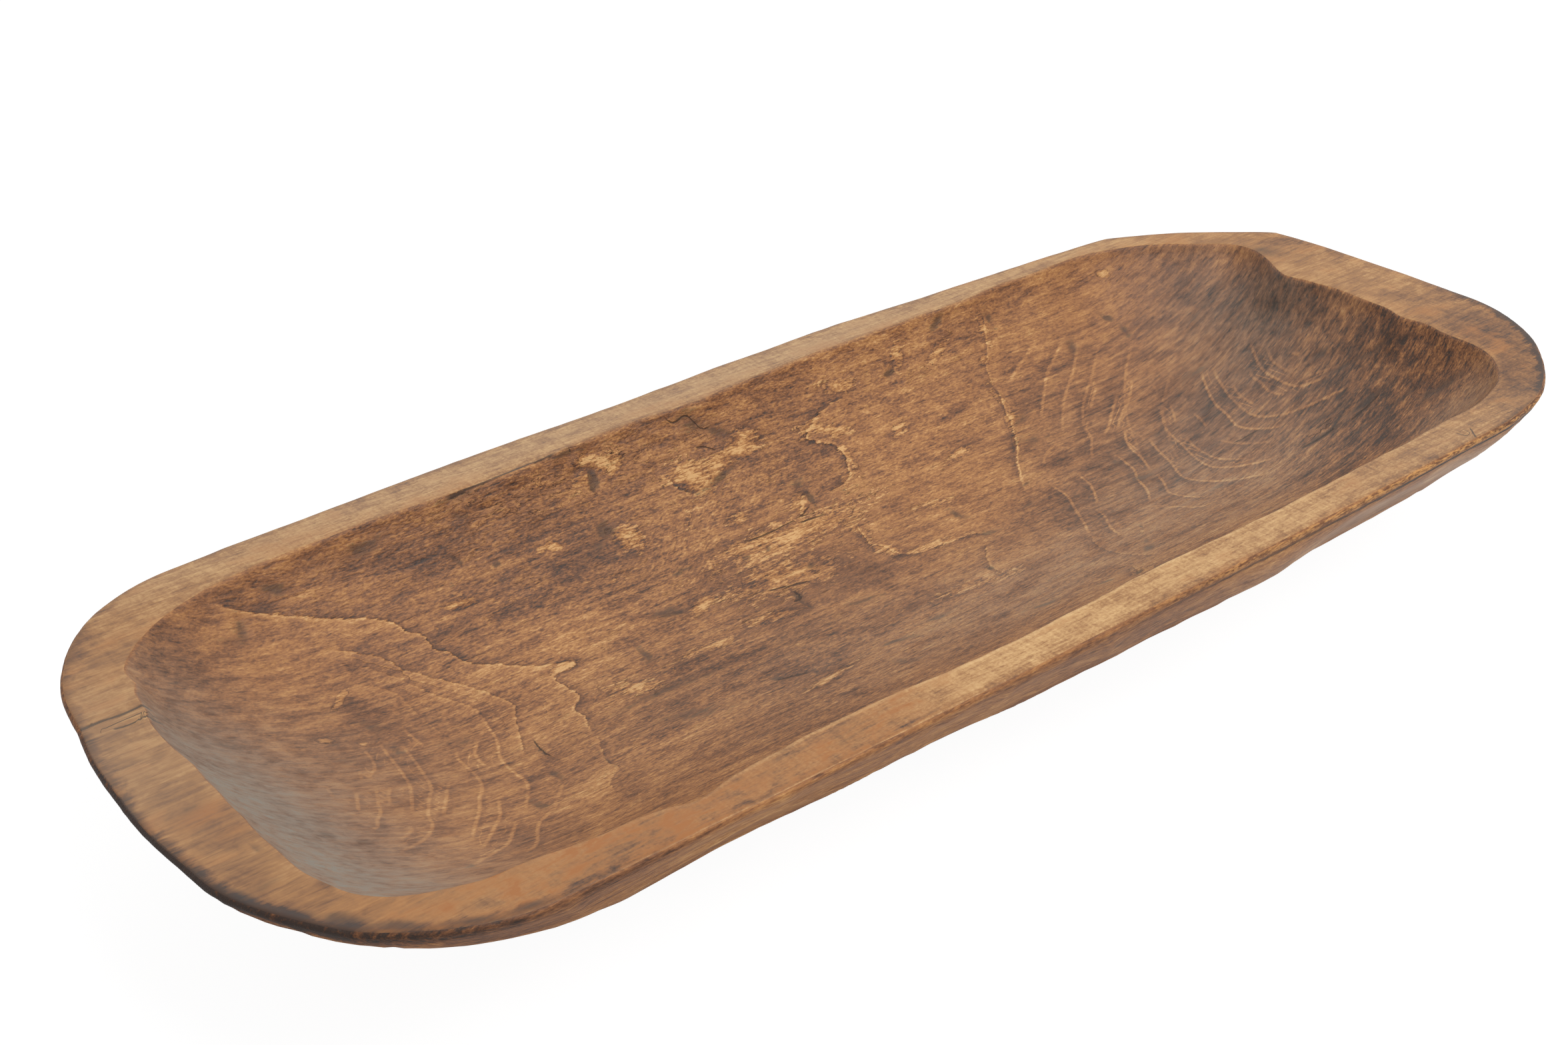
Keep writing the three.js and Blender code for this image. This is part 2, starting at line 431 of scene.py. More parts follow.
# %% Where the edges stray
# Each has x, y, how far along the edge it reaches and how far outwards it goes
MOUTH_TRIMS = (
    (-90, 83, 32, -2.8), (-10, 85, 24, -1.9), (133, 85, 16, 1.8), (172, 84, 22, 3.2),
    (205, 73, 14, 1.6), (222, 49, 14, 7.8), (222, 27, 9, -4.6), (222, 14, 7, -1.2), (221, -26, 7, -2.8),
    (220, -46, 9, -2.4), (28, -86, 32, -1.2), (-90, -85, 24, -1.8), (-144, -84, 9, 3.4),
    (-188, -82, 10, -1.8), (-222, -68, 14, 2.0), (-225, 58, 7, 0.5), (-228, 48, 4, -2.2),
    (-231, 38, 9, -2.4), (-233, 5, 30, -1.6),
)
RIM_TRIMS = (
    (-40, 100, 30, -1.1), (60, 100, 24, 1.3), (14, 100, 16, 0.5), (-172, 97, 12, 0.6),
    (254, -44, 22, 1.6), (252, 0, 22, 0.8), (222, -82, 16, 0.9), (205, -92, 12, 1.1),
    (238, -66, 14, 1.2), (252, 40, 18, 0.9), (240, 64, 20, -1.2), (204, 90, 16, -1.0),
    (-248, 38, 14, -1.5), (-254, 1, 8, 0.9), (-253, -32, 12, -1.1), (-236, -80, 11, 1.1),
    (-215, -85, 24, 0.8),
)
WALL_TRIMS = (
    (-120, -100, 50, -4.2), (-94, -100, 24, 1.4), (-192, -98, 20, -1.6), (-60, -100, 40, -1.2),
    (-42, -100, 22, -0.4), (60, -100, 34, 1.4), (65, -100, 14, 1.8), (110, -100, 24, -1.4),
    (152, -100, 22, -1.8), (236, -70, 24, -2.6), (254, -30, 30, -2.0),
)
print("trims at the mouth", len(MOUTH_TRIMS), "on the rim", len(RIM_TRIMS), "on the wall", len(WALL_TRIMS))

# %% Move the edges
# The length of the hollow's slope, from its mouth to the middle of its floor
HOLLOW_SLOPE = 90.0
# Millimetres down that slope that a trim and the fine wander of the mouth reach
TRIM_DEPTH, WANDER_DEPTH = 34.0, 14.0
# Shares of the rim's width where the trims of the mouth, its wander and the trims of the rim begin
TRIM_START, WANDER_START, OUTER_START = 0.1, 0.6, 0.3
# The height on the wall where the trims of the rim begin, and the stretches above the foot and below
# the rim over which the wall's own trims fade in
OUTER_LOW = 6
WALL_FROM_FOOT, WALL_FROM_RIM = (2, 20), (1, 14)
# The fine wander: height, size of its bumps and seed. Then how much of it the outer edge has, and how far
# that edge is drawn in everywhere.
EDGE_BUMPS = ((0.6, (30, 30, 30), 51), (0.35, (9, 9, 9), 52))
OUTER_WANDER, OUTER_INSET = 0.3, 0.15


def strays(flat, trims):
    """How far outwards an edge strays at each point."""
    total = np.zeros(len(flat))
    for x, y, reach, amount in trims:
        total += amount * np.exp(-((flat[:, 0] - x) ** 2 + (flat[:, 1] - y) ** 2) / reach ** 2)
    return total


from_mouth = np.where(in_hollow, level_share * HOLLOW_SLOPE, 0)
edge_wander = bumpy(base, EDGE_BUMPS)
height = base[:, 2]
trim_fading = in_hollow * np.exp(-(from_mouth / TRIM_DEPTH) ** 2)
mouth_share = np.where(on_rim, ramp(level_share, TRIM_START, 1), trim_fading)
wander_fading = in_hollow * ramp(WANDER_DEPTH - from_mouth, 0, WANDER_DEPTH)
mouth_fine = np.where(on_rim, ramp(level_share, WANDER_START, 1), wander_fading)
outer_fading = on_wall * ramp(height, OUTER_LOW, HEIGHT)
rim_outside = np.where(on_rim, ramp(1 - level_share, OUTER_START, 1), outer_fading)
wall_share = on_wall * ramp(height, *WALL_FROM_FOOT) * ramp(HEIGHT - height, *WALL_FROM_RIM)
across_edge = base[:, :2] - np.clip(base[:, :2], (-STRAIGHT_FLOOR / 2, 0), (STRAIGHT_FLOOR / 2, 0))
across_edge /= np.maximum(np.linalg.norm(across_edge, axis=1, keepdims=True), SMALL)
shift = mouth_share * strays(base, MOUTH_TRIMS) + mouth_fine * edge_wander
outer_shift = strays(base, RIM_TRIMS) + OUTER_WANDER * edge_wander - OUTER_INSET
shift += rim_outside * outer_shift + wall_share * strays(base, WALL_TRIMS)
base[:, :2] += across_edge * shift[:, None]
directions = outward(base, triangles)
print("edges stray from", round(float(shift.min()), 1), "to", round(float(shift.max()), 1), "mm")

# %% [markdown]
# ## Growth rings
# The bowl was hewn from half a log. Where the hollow climbs towards its ends it cuts one growth ring
# after another, in arcs that open towards the end and lie closer and closer together. On the floor the
# hollow runs almost level with the rings, so there a ring's edge wanders about like a shore line.

# %% Where a ring shows as a thin light line
# Each line has a strength and its points, walking from the far side towards the near side
RING_LINES = (
    (0.7, ((-172.5, 30), (-172.8, 24), (-174.7, 20), (-177.8, 17), (-178.3, 14))),
    (0.7, ((-166.7, 32), (-167.5, 24), (-168.3, 17), (-170.3, 9), (-174, 2), (-178.5, -6))),
    (0.7, ((-161, 32), (-161.9, 22), (-162.8, 16), (-165, 7), (-169, 1.3), (-174, -6.4), (-176.7, -13),
           (-183, -18.7), (-191, -23), (-195, -26))),
    (0.7, ((-159.4, 7.2), (-161, 4.7), (-164, 0.8), (-166, -2), (-169, -6), (-171, -9))),
    (0.7, ((-157.5, 33), (-157, 30), (-156, 25))),
    (0.8, ((-146.7, 22), (-150.3, 17), (-150.6, 9), (-152, 2), (-156.7, -4.2), (-160.6, -10),
           (-166, -16.4), (-172, -24))),
    (0.8, ((-141.7, 20), (-144, 18), (-145, 16), (-145.8, 12), (-145.3, 9))),
    (0.75, ((-150, -5), (-153, -8), (-156.7, -14.2), (-162, -19.4), (-169.4, -26.4), (-173.3, -28.7))),
    (0.8, ((-135.3, 29), (-136, 19), (-140, 11), (-141, 2.4), (-141, -4), (-146, -11), (-150.6, -16.4))),
    (0.85, ((-154, -18.4), (-159, -23.7), (-164, -28.7), (-173.3, -33), (-179, -35.6))),
    (0.85, ((-142.5, -19), (-150, -23), (-154, -28), (-158.3, -33.7), (-164.5, -36.6))),
    (0.85, ((-186.6, 8.6), (-188.3, 5.2), (-190, 2), (-191.6, -1.4))),
    (0.8, ((-184, 1.4), (-186, -2.6), (-189, -6.4), (-191, -9.8), (-194.4, -12.4))),
    (0.6, ((-180, 10), (-181, 8), (-182.8, 4), (-185, 0.2))),
    (0.6, ((-176, 9.6), (-179, 5.2), (-181.4, 0.6))),
    (0.5, ((-192.6, 13), (-194.6, 6))),
    (0.6, ((-182, -12.4), (-185.6, -15.3), (-189, -17.4))),
    (0.5, ((-179, 20), (-181.4, 15))),
    (0.5, ((-132.6, -9), (-136, -12.6), (-140, -16.4), (-142, -19))),
    (1.0, ((94.7, 24), (95.3, 14.7), (90, 5.3), (86, -2), (81, -9.3))),
    (1.1, ((108, 21.3), (107.7, 16), (106, 12.7), (103.3, 8.7), (99, 4))),
    (1.0, ((96.4, 3.6), (95, -2.7), (92, -7.3), (90, -11.3), (88.6, -17))),
    (0.3, ((106, 3), (101, -3))),
    (1.2, ((129, 24), (127.7, 13.3), (123.3, 7.3), (120, 0), (113.6, -7))),
    (0.9, ((114.7, -12.7), (118.7, -15.3), (121.3, -19.3), (125.6, -22.6))),
    (1.3, ((142.7, 31.3), (137.3, 24.7), (135, 16), (131.6, 8.6))),
    (1.1, ((131.7, 7), (128.7, 0), (124.3, -6.7), (128.7, -14.7), (133, -17))),
    (1.2, ((146.7, 24), (143, 16), (140.3, 7.3), (136, -2), (138.7, -9.3), (147.3, -18), (158, -25.4))),
    (1.1, ((163, 33), (156.7, 25.3), (153.3, 20), (151.3, 12), (148, 3.3), (147, -5.3), (152, -12),
           (160, -18), (167, -20.4))),
    (0.8, ((165.3, 30), (162, 25.3), (158.4, 21))),
    (1.1, ((155.3, 13.6), (152.3, 6), (152, -4), (158, -12.8))),
    (0.8, ((166.7, 20), (165, 14.7), (163, 10))),
    (0.7, ((159.6, 3.6), (161.3, -2), (163.3, -6), (166, -10), (170, -14.6))),
    (1.2, ((185.4, 34), (179.3, 25.3), (174, 16), (172, 9.3), (169.3, 0.7), (174, -8.7), (179.4, -13.4))),
    (1.0, ((188.4, 31.4), (182, 20), (178, 10), (176.3, -0.7), (183, -10), (194.7, -18), (202, -23.3))),
    (0.9, ((184.6, 17.6), (182, 13.3), (180.7, 8), (180, 2))),
    (0.8, ((192.6, 17), (190, 13.3), (189.3, 9.3), (187.3, 3.3), (187.7, -0.7), (189, -4.6))),
    (1.1, ((202, 25.6), (194.7, 14), (192.7, 4.7), (193.3, -5.3), (202.6, -13.2))),
    (0.8, ((201, 16), (198, 11.3), (197, 6), (196.7, 2))),
    (0.6, ((202.6, 8), (203.4, 2))),
    (0.7, ((197.4, -4.6), (203, -11))),
    (1.0, ((103.4, 47), (98, 42), (93.3, 37.3), (88, 29.3), (84, 23))),
    (0.9, ((133.6, 40.6), (129.3, 38), (128, 34), (124, 30), (120, 26))),
    (0.9, ((148, 51), (143, 47.6), (138.4, 44.4))),
    (1.0, ((153, 44.6), (145.3, 40), (138.7, 35.3), (132.6, 32.4))),
    (1.0, ((164, 48), (158.7, 43.3), (153.3, 40), (146.7, 36.7), (139, 32))),
    (0.7, ((112, 37), (105.3, 34.7), (101, 31.6))),
    (0.8, ((149, 69), (134, 62), (126, 56), (115, 47))),
    (0.7, ((155.6, 67.6), (144, 59), (130, 50), (119, 39.5))),
    (0.6, ((163, 64), (150, 55), (136, 46), (127, 36))),
    (0.6, ((175, 58.4), (161, 48.5), (147, 34), (137, 18))),
    (0.8, ((136.4, 71.4), (119.4, 65), (113, 62))),
    (0.5, ((177, 40), (163, 31.4), (151, 17.7), (141, 3))),
)
print("ring lines", len(RING_LINES))

# %% [markdown]
# ## Marks with a place of their own
# Shores are the edges of growth layers on the floor: pale along the edge, dark in the lee of it.
# Cracks are black and thin. Pale patches are where a layer flaked off and took less stain, and dark
# ones are where torn fibres soaked it up. Each is drawn with a few points, seen from above.

# %% Curves through a few points, and distances from them
CURVE_STEPS = 5
CURVE_REACH = 16.0
FAR_OFF = 50.0
# Puts a point that lies right on a curve on its left side
NUDGE = 1e-12


def curve_through(knots):
    """A smooth curve through a few points."""
    knots = np.array(knots, float)
    ends = np.concatenate([[2 * knots[0] - knots[1]], knots, [2 * knots[-1] - knots[-2]]])
    share = np.linspace(0, 1, CURVE_STEPS, endpoint=False)[:, None]
    pieces = []
    for a, b, c, d in zip(ends, ends[1:], ends[2:], ends[3:]):
        bend = 2 * a - 5 * b + 4 * c - d + share * (3 * (b - c) + d - a)
        pieces.append(b + 0.5 * share * (c - a + share * bend))
    return np.concatenate([*pieces, knots[-1:]])


def from_curve(flat, knots):
    """Each point's distance from the curve, positive to the left of it, and its share of the way along."""
    curve = curve_through(knots)
    best = np.full(len(flat), np.inf)
    side = np.ones(len(flat))
    along = np.zeros(len(flat))
    steps = np.linalg.norm(np.diff(curve, axis=0), axis=1)
    run = np.concatenate([[0], np.cumsum(steps)])
    for number in range(len(steps)):
        start = curve[number]
        step = curve[number + 1] - start
        close = np.nonzero(np.linalg.norm(flat - start, axis=1) < CURVE_REACH + steps[number])[0]
        offset = flat[close] - start
        share = np.clip(offset @ step / max(steps[number] ** 2, TINY), 0, 1)
        distance = np.hypot(*(offset - share[:, None] * step).T)
        nearer = distance < best[close]
        hit = close[nearer]
        best[hit] = distance[nearer]
        side[hit] = np.sign(step[0] * offset[nearer, 1] - step[1] * offset[nearer, 0] + NUDGE)
        along[hit] = (run[number] + share[nearer] * steps[number]) / run[-1]
    return np.minimum(best, FAR_OFF) * side, along


# %% Shores on the floor of the hollow
# Each has a strength and its points, with the pale side on the left hand when walking along it
SHORES = {
    "long left shore": (1.0, ((-112, 3), (-111, 9), (-109, 13), (-110, 17), (-105.5, 20.5), (-106.4, 26),
        (-107.7, 31), (-99.5, 31.6), (-99.6, 33.6), (-109, 36.4), (-118, 41), (-127, 45.5), (-130.5, 50),
        (-134.5, 53), (-135, 57), (-139, 59.5), (-142.7, 63.6), (-153.6, 67.3), (-160, 69), (-171, 71.8),
        (-182, 74), (-192, 76))),
    "second left shore": (0.7, ((-134, 8), (-130, 15.5), (-127.3, 21.8), (-124, 27.7), (-127.3, 33.6),
        (-134, 41), (-140, 45.5), (-146.4, 51), (-150, 55.5), (-156.4, 59), (-164, 62))),
    "third left shore": (0.4, ((-135.5, 21), (-134.5, 28), (-135, 32.5), (-141, 39), (-145.5, 44.5),
        (-150, 50), (-158, 56.4))),
    "fourth left shore": (0.3, ((-148.2, 26.4), (-150.5, 35.5), (-151.4, 42.7), (-154.5, 47.3),
        (-163, 52))),
    "left floor shore": (0.6, ((-125, -23), (-124, -19.8), (-121.7, -17), (-119, -15), (-117.2, -14.6),
        (-116.8, -12), (-117.2, -9), (-116, -5.6), (-114, -1), (-112, 3))),
    "middle shore": (1.0, ((47, 76), (38, 75), (30, 73), (24, 70), (25, 68), (30, 66), (33.5, 63.5),
        (33, 59.5), (30, 54.5), (25, 53), (18, 52.5))),
    "dart": (0.8, ((13, 55), (9, 54.5), (6, 51.5), (3, 49))),
    "middle floor shore": (0.8, ((18.5, 39), (18, 34), (17, 29), (20, 27), (22, 22), (27, 19), (33, 17.5),
        (43, 17), (51, 16), (58, 12))),
    "small floor shore": (0.7, ((50, 9), (47, 5), (43, 1), (41, -3), (41.5, -9))),
    "right shore": (0.8, ((108, 63), (106, 58), (104.5, 54), (103, 50), (99, 43.4), (93, 37), (88, 30))),
    "crescent": (0.9, ((-21, 66), (-26, 66.2), (-31, 68.5), (-33, 72))),
    "near right shore": (0.5, ((81, -9), (77.5, -16), (77, -24), (78.5, -32), (82, -38))),
    "far right shore": (0.6, ((119, 82), (116, 78), (113, 73), (109, 70), (107, 64))),
    "near shore": (0.6, ((70, -37), (66, -43), (63, -46), (66, -50))),
}
print("shores", len(SHORES))

# %% Cracks
# Each has a half width, a depth and its points
CRACKS = {
    "torn far edge": (0.12, 0.4, ((-27, 84), (-23, 81.4), (-17, 81.6), (-13, 78.6), (-8, 78.8))),
    "torn far edge two": (0.15, 0.5, ((-19, 75.6), (-15, 75), (-11, 73.4))),
    "far edge split": (0.4, 0.8, ((-112, 80.6), (-100, 81.0), (-88, 81.6), (-76, 82.2), (-66, 82.6))),
    "hair in the tongue": (0.2, 0.5, ((-24, 48.2), (-14, 47.6), (-4, 48), (4, 48.8), (12, 52))),
    "middle split": (0.25, 0.5, ((-28, 29), (-22, 28), (-16, 26.6), (-11, 26))),
    "dart split": (0.25, 0.5, ((1, 47), (6, 46.6), (13, 46.4))),
    "left floor split": (0.25, 0.4, ((-127.2, 14), (-128.3, 8), (-127.8, 2))),
    "chip split": (0.4, 0.7, ((-23, 21), (-20, 21.2), (-19, 23), (-19.5, 25))),
    "right split": (0.3, 0.6, ((171, -24), (178, -26.4), (185, -28.5))),
    "right split two": (0.35, 0.6, ((188, -31), (195, -32.5), (202, -33.5))),
    "right split three": (0.25, 0.5, ((180, -22.6), (184, -23.6), (187.6, -24.6))),
    "right curl": (0.25, 0.5, ((161, -2.6), (165, -4), (169, -4.8), (172.6, -6.4))),
    "floor chip": (0.3, 0.5, ((-55, -7.5), (-51, -8.6), (-46, -10), (-43, -11))),
}
print("cracks in the hollow", len(CRACKS))

# %% Pale and dark patches
# Each is x, y, half length, half width, turn in degrees and strength
PALE_PATCHES = (
    (-25, 70, 9, 4.2, -16, 1.0), (-14, 70.8, 10, 1.8, 6, 0.9), (-1, 72.8, 8, 3.2, 8, 1.3),
    (-21, 67.5, 7, 2.2, 14, 0.8), (-56.5, 61, 4.2, 5.0, 50, 0.9), (-54, 79.6, 9, 1.5, -8, 1.5),
    (-49, 78.4, 4, 1.4, 20, 1.2), (-62, 77.5, 4, 1.2, 6, 1.0), (-82, 65.6, 2.6, 1.3, -10, 1.7),
    (-87, 65.8, 1.8, 0.8, 0, 1.0), (-119, 60.8, 5.4, 1.2, -4, 1.1), (-49.5, 33.6, 5.2, 2.2, 16, 0.9),
    (-103, 33, 5, 1.4, 2, 0.8), (-90, 15.5, 8, 2.6, -24, 0.6), (-34, 18.6, 9, 2.0, -10, 0.6),
    (-168.5, 48, 4.6, 1.0, 36, 0.9), (-181, 35, 2.6, 1.0, -20, 0.9), (-171.5, 31.4, 1.2, 1.0, 0, 2.2),
    (-166, 32.6, 0.8, 0.7, 0, 1.4), (-162.2, 33.3, 0.8, 0.6, 0, 1.2), (-74.5, 15.6, 1.2, 0.5, 40, 2.0),
    (-108.3, 3.2, 0.8, 0.6, 0, 1.6), (-4, 44, 26, 4.6, 1, 0.5), (-24, 46, 4, 3.2, 0, 0.5),
    (-17, 31, 17, 5.6, -6, 0.42), (-20, 35, 12, 1.4, 0, 0.5), (6, 52.4, 4.6, 2.4, 42, 0.8),
    (20.5, 25, 5.6, 2.2, -38, 0.8), (36, 18.6, 12, 1.3, -8, 0.5), (18, 36, 1.6, 6, 0, 0.4),
    (33, 69.5, 10, 1.5, -16, 0.7), (27, 71.6, 5, 1.2, 20, 0.7), (34.6, 61, 1.8, 5, 0, 0.6),
    (30, 55, 5, 1.3, 10, 0.5), (47, 78.5, 7, 1.5, -5, 0.7), (104.6, 52, 3.0, 1.8, 30, 0.9),
    (106.6, 58, 1.4, 5, 8, 0.6), (98.6, 43, 6, 0.9, 58, 0.5), (93, 78, 6, 1.2, 18, 0.6),
    (110, 71.5, 2.4, 1.2, 10, 0.9), (116.5, 79, 1.6, 4, -10, 0.7), (75, 80, 4, 1.8, 40, 0.6),
    (95.3, -19.7, 2.0, 0.7, 45, 2.0), (181, 80.5, 2.8, 1.1, -24, 1.2), (28, -7, 16, 2.0, -8, 0.4),
    (-40, -17.6, 10, 1.8, 8, 0.6), (67, -46, 3, 5, 20, 0.4), (-130, 57.6, 1.0, 0.6, 0, 1.2),
    (-96, 58, 1.2, 0.6, 0, 1.2), (-70, 52, 2.4, 0.6, 30, 0.8), (-34, 60, 3.4, 0.8, 34, 0.6),
    (-18, 55, 4.4, 1.6, 10, 0.5), (60, 62, 5, 1.2, 10, 0.5), (52, 34, 6, 1.4, -8, 0.4),
    (76, 48, 7, 1.2, 14, 0.4), (-60, 18, 9, 1.4, -4, 0.4),
)
DARK_PATCHES = (
    (-63, 65.2, 4.4, 2.8, 14, 1.2), (-68, 62.5, 7, 2.2, 20, 0.6), (-58.2, 77.2, 3.0, 2.2, 62, 2.2),
    (-60.2, 75.2, 1.4, 1.0, 0, 1.6), (-62, 36.4, 8, 2.0, -10, 1.0), (-57.5, 34.8, 3.4, 1.4, -20, 1.2),
    (-77.8, 26, 1.8, 5.6, 8, 1.0), (-79, 22.5, 2, 2, 0, 0.6), (-19.5, 22.5, 2, 2.4, 0, 1.3),
    (-20.2, 18.5, 1.3, 4, 8, 1.0), (-24.5, 43.5, 1.8, 2.2, 0, 0.9), (-15.4, 42.8, 1.8, 1.2, 0, 1.1),
    (-6.5, 31.5, 2.8, 1.3, 14, 1.2), (-6, 9.4, 7, 1.4, -10, 0.9), (11.6, 52.5, 1.7, 4.2, -6, 1.5),
    (10.5, 57.5, 4, 2.4, 20, 0.7), (54.5, 27, 2.2, 4.4, 22, 1.0), (56, 14, 5, 1.4, -18, 0.7),
    (80, 18.5, 3.4, 1.2, 0, 0.9), (87, 27, 3, 1, 10, 0.8), (-28, 67.2, 4.6, 1.1, -30, 0.8),
    (-14, 67.6, 14, 0.9, 12, 0.9), (-16, 80.4, 7, 2.4, -18, 0.7), (-8, 77, 5, 1.8, -20, 0.8),
    (-78, 82.2, 30, 0.8, 1, 1.3), (-106, 80.6, 8, 1.2, -6, 0.6), (-108, 78, 4, 1, -20, 0.6),
    (-140, 79, 9, 1.4, 4, 0.7), (-171, 77, 5, 1.6, -6, 0.8), (-185, 70, 2.4, 5, -24, 0.8),
    (-188, 68, 6, 1.4, 0, 0.6), (-46, 47, 4, 1.4, 0, 0.5), (-103.7, 62.6, 1.6, 1.2, 0, 1.3),
    (-102.6, 66.6, 1.6, 0.9, 0, 1.3), (-128.3, 55.4, 1.2, 0.8, 0, 1.8), (-119, 66, 1.2, 0.8, 0, 1.2),
    (-114, 70.5, 2.4, 1, -50, 0.9), (69, 77, 3.4, 1.4, 10, 1.2), (97, 83.4, 5, 1.1, 16, 1.0),
    (121, 81, 2.6, 2.6, 0, 0.8), (172, 70, 5, 1.4, -44, 1.0), (175.4, 63, 1.8, 4, 0, 0.8),
    (150, 66, 4, 3, 30, 0.7), (110, 51, 6, 2.2, 24, 0.7), (106, 42, 6, 2, 16, 0.6),
    (86, -30.5, 4.6, 2.4, 30, 0.9), (90, -26, 3, 1.4, 40, 0.6), (48.5, -22.2, 1.2, 0.8, 0, 1.6),
    (98.5, -16.5, 3.4, 0.9, 52, 1.5), (65.6, -44, 3.2, 1.6, 46, 1.2), (33, -34.5, 8, 1.4, -14, 0.8),
    (54, -38.5, 8, 1.2, -24, 0.6), (-20, -29, 7, 2.2, -50, 0.6), (-42, -12, 1.1, 2.6, 0, 1.2),
    (-53, -7.2, 3, 1, -14, 1.2), (-46, -10, 4, 1, -20, 0.9), (-12, -15.5, 8, 1.6, -14, 1.0),
    (7, -13.5, 6, 1.6, -4, 0.8), (4, -5, 2, 2, 0, 0.7), (-84, -6, 14, 3, -20, 0.6),
    (-78, 9, 20, 2, -2, 0.6), (-128.5, 5, 1.1, 7, 0, 0.9), (-132, -5, 1.4, 5, 8, 0.8),
    (-145, -14, 2, 5, 10, 0.7), (-146, 22, 5, 2, 0, 0.5), (-117, -8, 1, 5, 0, 0.7),
    (40.6, -3, 1.2, 2.8, 6, 1.2), (3.6, 7.8, 1.0, 0.8, 0, 2.0), (182, 33, 8, 3, -10, 0.6),
    (128, 8, 10, 2, 0, 0.5), (179, -26.8, 12, 1.4, -16, 1.2), (197, -31, 10, 1.6, -18, 1.3),
    (186, -22, 12, 1.2, -20, 0.8), (100, 43.6, 5, 1.4, 8, 0.6), (113, 41.5, 2, 1, 0, 0.7),
    (169, 16.5, 4.4, 2.6, 0, 0.8), (150, 22, 3, 1.6, 0, 0.8), (149.4, 15, 1.8, 1.6, 0, 0.8),
    (198, 17, 1.6, 1.2, 0, 0.8), (125.4, 18.6, 1.8, 3.0, 0, 0.6), (140, -15.4, 4, 0.9, 2, 0.8),
    (-143.9, 21.9, 1.5, 1.5, 0, 0.9), (-163.9, 26.3, 2, 4, 0, 0.6), (-116, 1.3, 1.4, 1.2, 0, 0.8),
    (-143.2, -15.6, 2.4, 0.8, -60, 0.8), (208, -53, 9, 3, -40, 0.9), (204, -43, 12, 1.4, -24, 0.8),
    (190, -38, 12, 1.2, -20, 0.7), (206, -4, 3, 5, 30, 0.7), (213, -22, 8, 1.4, -40, 0.8),
    (204, -14, 8, 1.2, -36, 0.8), (-182, 26, 5, 3, 0, 0.4), (-166, 38, 6, 2, -50, 0.5),
    (199, 50, 5, 3, 0, 0.4), (-179, -37, 2, 3, 20, 0.5),
)
print("pale patches", len(PALE_PATCHES), "dark patches", len(DARK_PATCHES))

# %% Broad lighter and darker areas of the hollow
# Each is x, y, half length, half width and how much lighter the wood is, or darker where it is below zero
BROAD_TONES = (
    (-118, 38, 34, 12, 0.12), (-85, 44, 20, 7, 0.16), (-95, 28, 26, 9, 0.06), (-155, 66, 30, 8, 0.1),
    (-150, 30, 30, 20, 0.04), (-112, 52, 16, 5, -0.08), (-78, 60, 34, 12, -0.14),
    (-120, 75, 60, 6, -0.1), (-70, 48, 16, 6, -0.1), (-86, 3, 22, 11, -0.14), (-38, 6, 26, 10, -0.1),
    (-44, -8, 22, 7, -0.1), (-72, -34, 40, 12, -0.1), (-42, 56, 14, 8, 0.05), (-35, 26, 10, 20, -0.08),
    (8, 64, 20, 10, -0.08), (28, 60, 8, 8, -0.08), (12, 76, 24, 5, -0.06), (-6, 44, 26, 8, 0.06),
    (60, 40, 34, 14, 0.08), (60, 62, 22, 12, 0.05), (50, 20, 26, 8, 0.05), (12, 22, 16, 9, -0.1),
    (12, 6, 26, 8, -0.02), (92, 70, 20, 10, 0.06), (125, 70, 20, 10, 0.06), (-184, 0, 11, 6, 0.07),
    (-168, -5, 12, 6, 0.08), (-150, -10, 13, 6, 0.08), (-132, -15, 12, 6, 0.06),
    (205, -30, 28, 30, -0.27), (214, 30, 14, 36, -0.24), (175, -48, 34, 14, -0.1),
    (150, 8, 36, 20, -0.12), (200, 48, 22, 26, -0.05), (-208, 64, 18, 14, -0.12),
    (180, 18, 30, 14, -0.1), (190, 62, 26, 14, -0.08), (-215, 10, 16, 60, -0.12),
    (-176, 28, 14, 14, -0.08), (-190, -10, 20, 30, -0.05), (-20, -45, 70, 14, -0.03),
    (-150, 40, 36, 26, -0.07), (-85, 30, 30, 20, -0.07), (110, 30, 34, 30, -0.1),
    (165, 55, 34, 20, -0.06), (60, 40, 30, 20, -0.04), (-137, -3, 6, 2.4, -0.14),
    (-158, -28, 7, 4, -0.12), (-148, -36, 9, 4, -0.08), (-124, -3, 6, 2, 0.08), (-157, 5, 3, 2.6, 0.1),
    (-155, -1, 4, 2.2, 0.1), (-147, -4, 4, 2.8, 0.12), (-135, -31, 5, 4, 0.14),
    (-130.6, -22.6, 5, 4, 0.14), (-136, 0.4, 6, 1.4, 0.1),
)
# Where grey is painted over the stain, partly a bloom of dust and wax and partly painted sheen, a reflection
# of the white room at grazing angles: x, y, half length, half width and strength
GREY_SHEEN_AREAS = (
    (-228, 2, 30, 50, 0.8), (-210, -48, 38, 24, 0.48), (-190, -68, 32, 12, 0.46),
    (-180, 15, 30, 34, 0.14), (150, 0, 55, 50, 0.24), (208, 35, 26, 36, 0.25), (195, -68, 20, 12, 0.3),
    (60, -25, 100, 30, 0.24), (-60, 0, 150, 60, 0.1),
)
# Where the same grey is painted over the rim as painted sheen: x, y, half length, half width and strength
RIM_GREY_SHEEN_AREAS = (
    (-248, 20, 20, 50, 0.2), (240, -10, 24, 60, 0.06), (60, -93, 60, 10, 0.06),
    (160, -92, 60, 12, 0.16), (0, 93, 240, 10, 0.24),
)
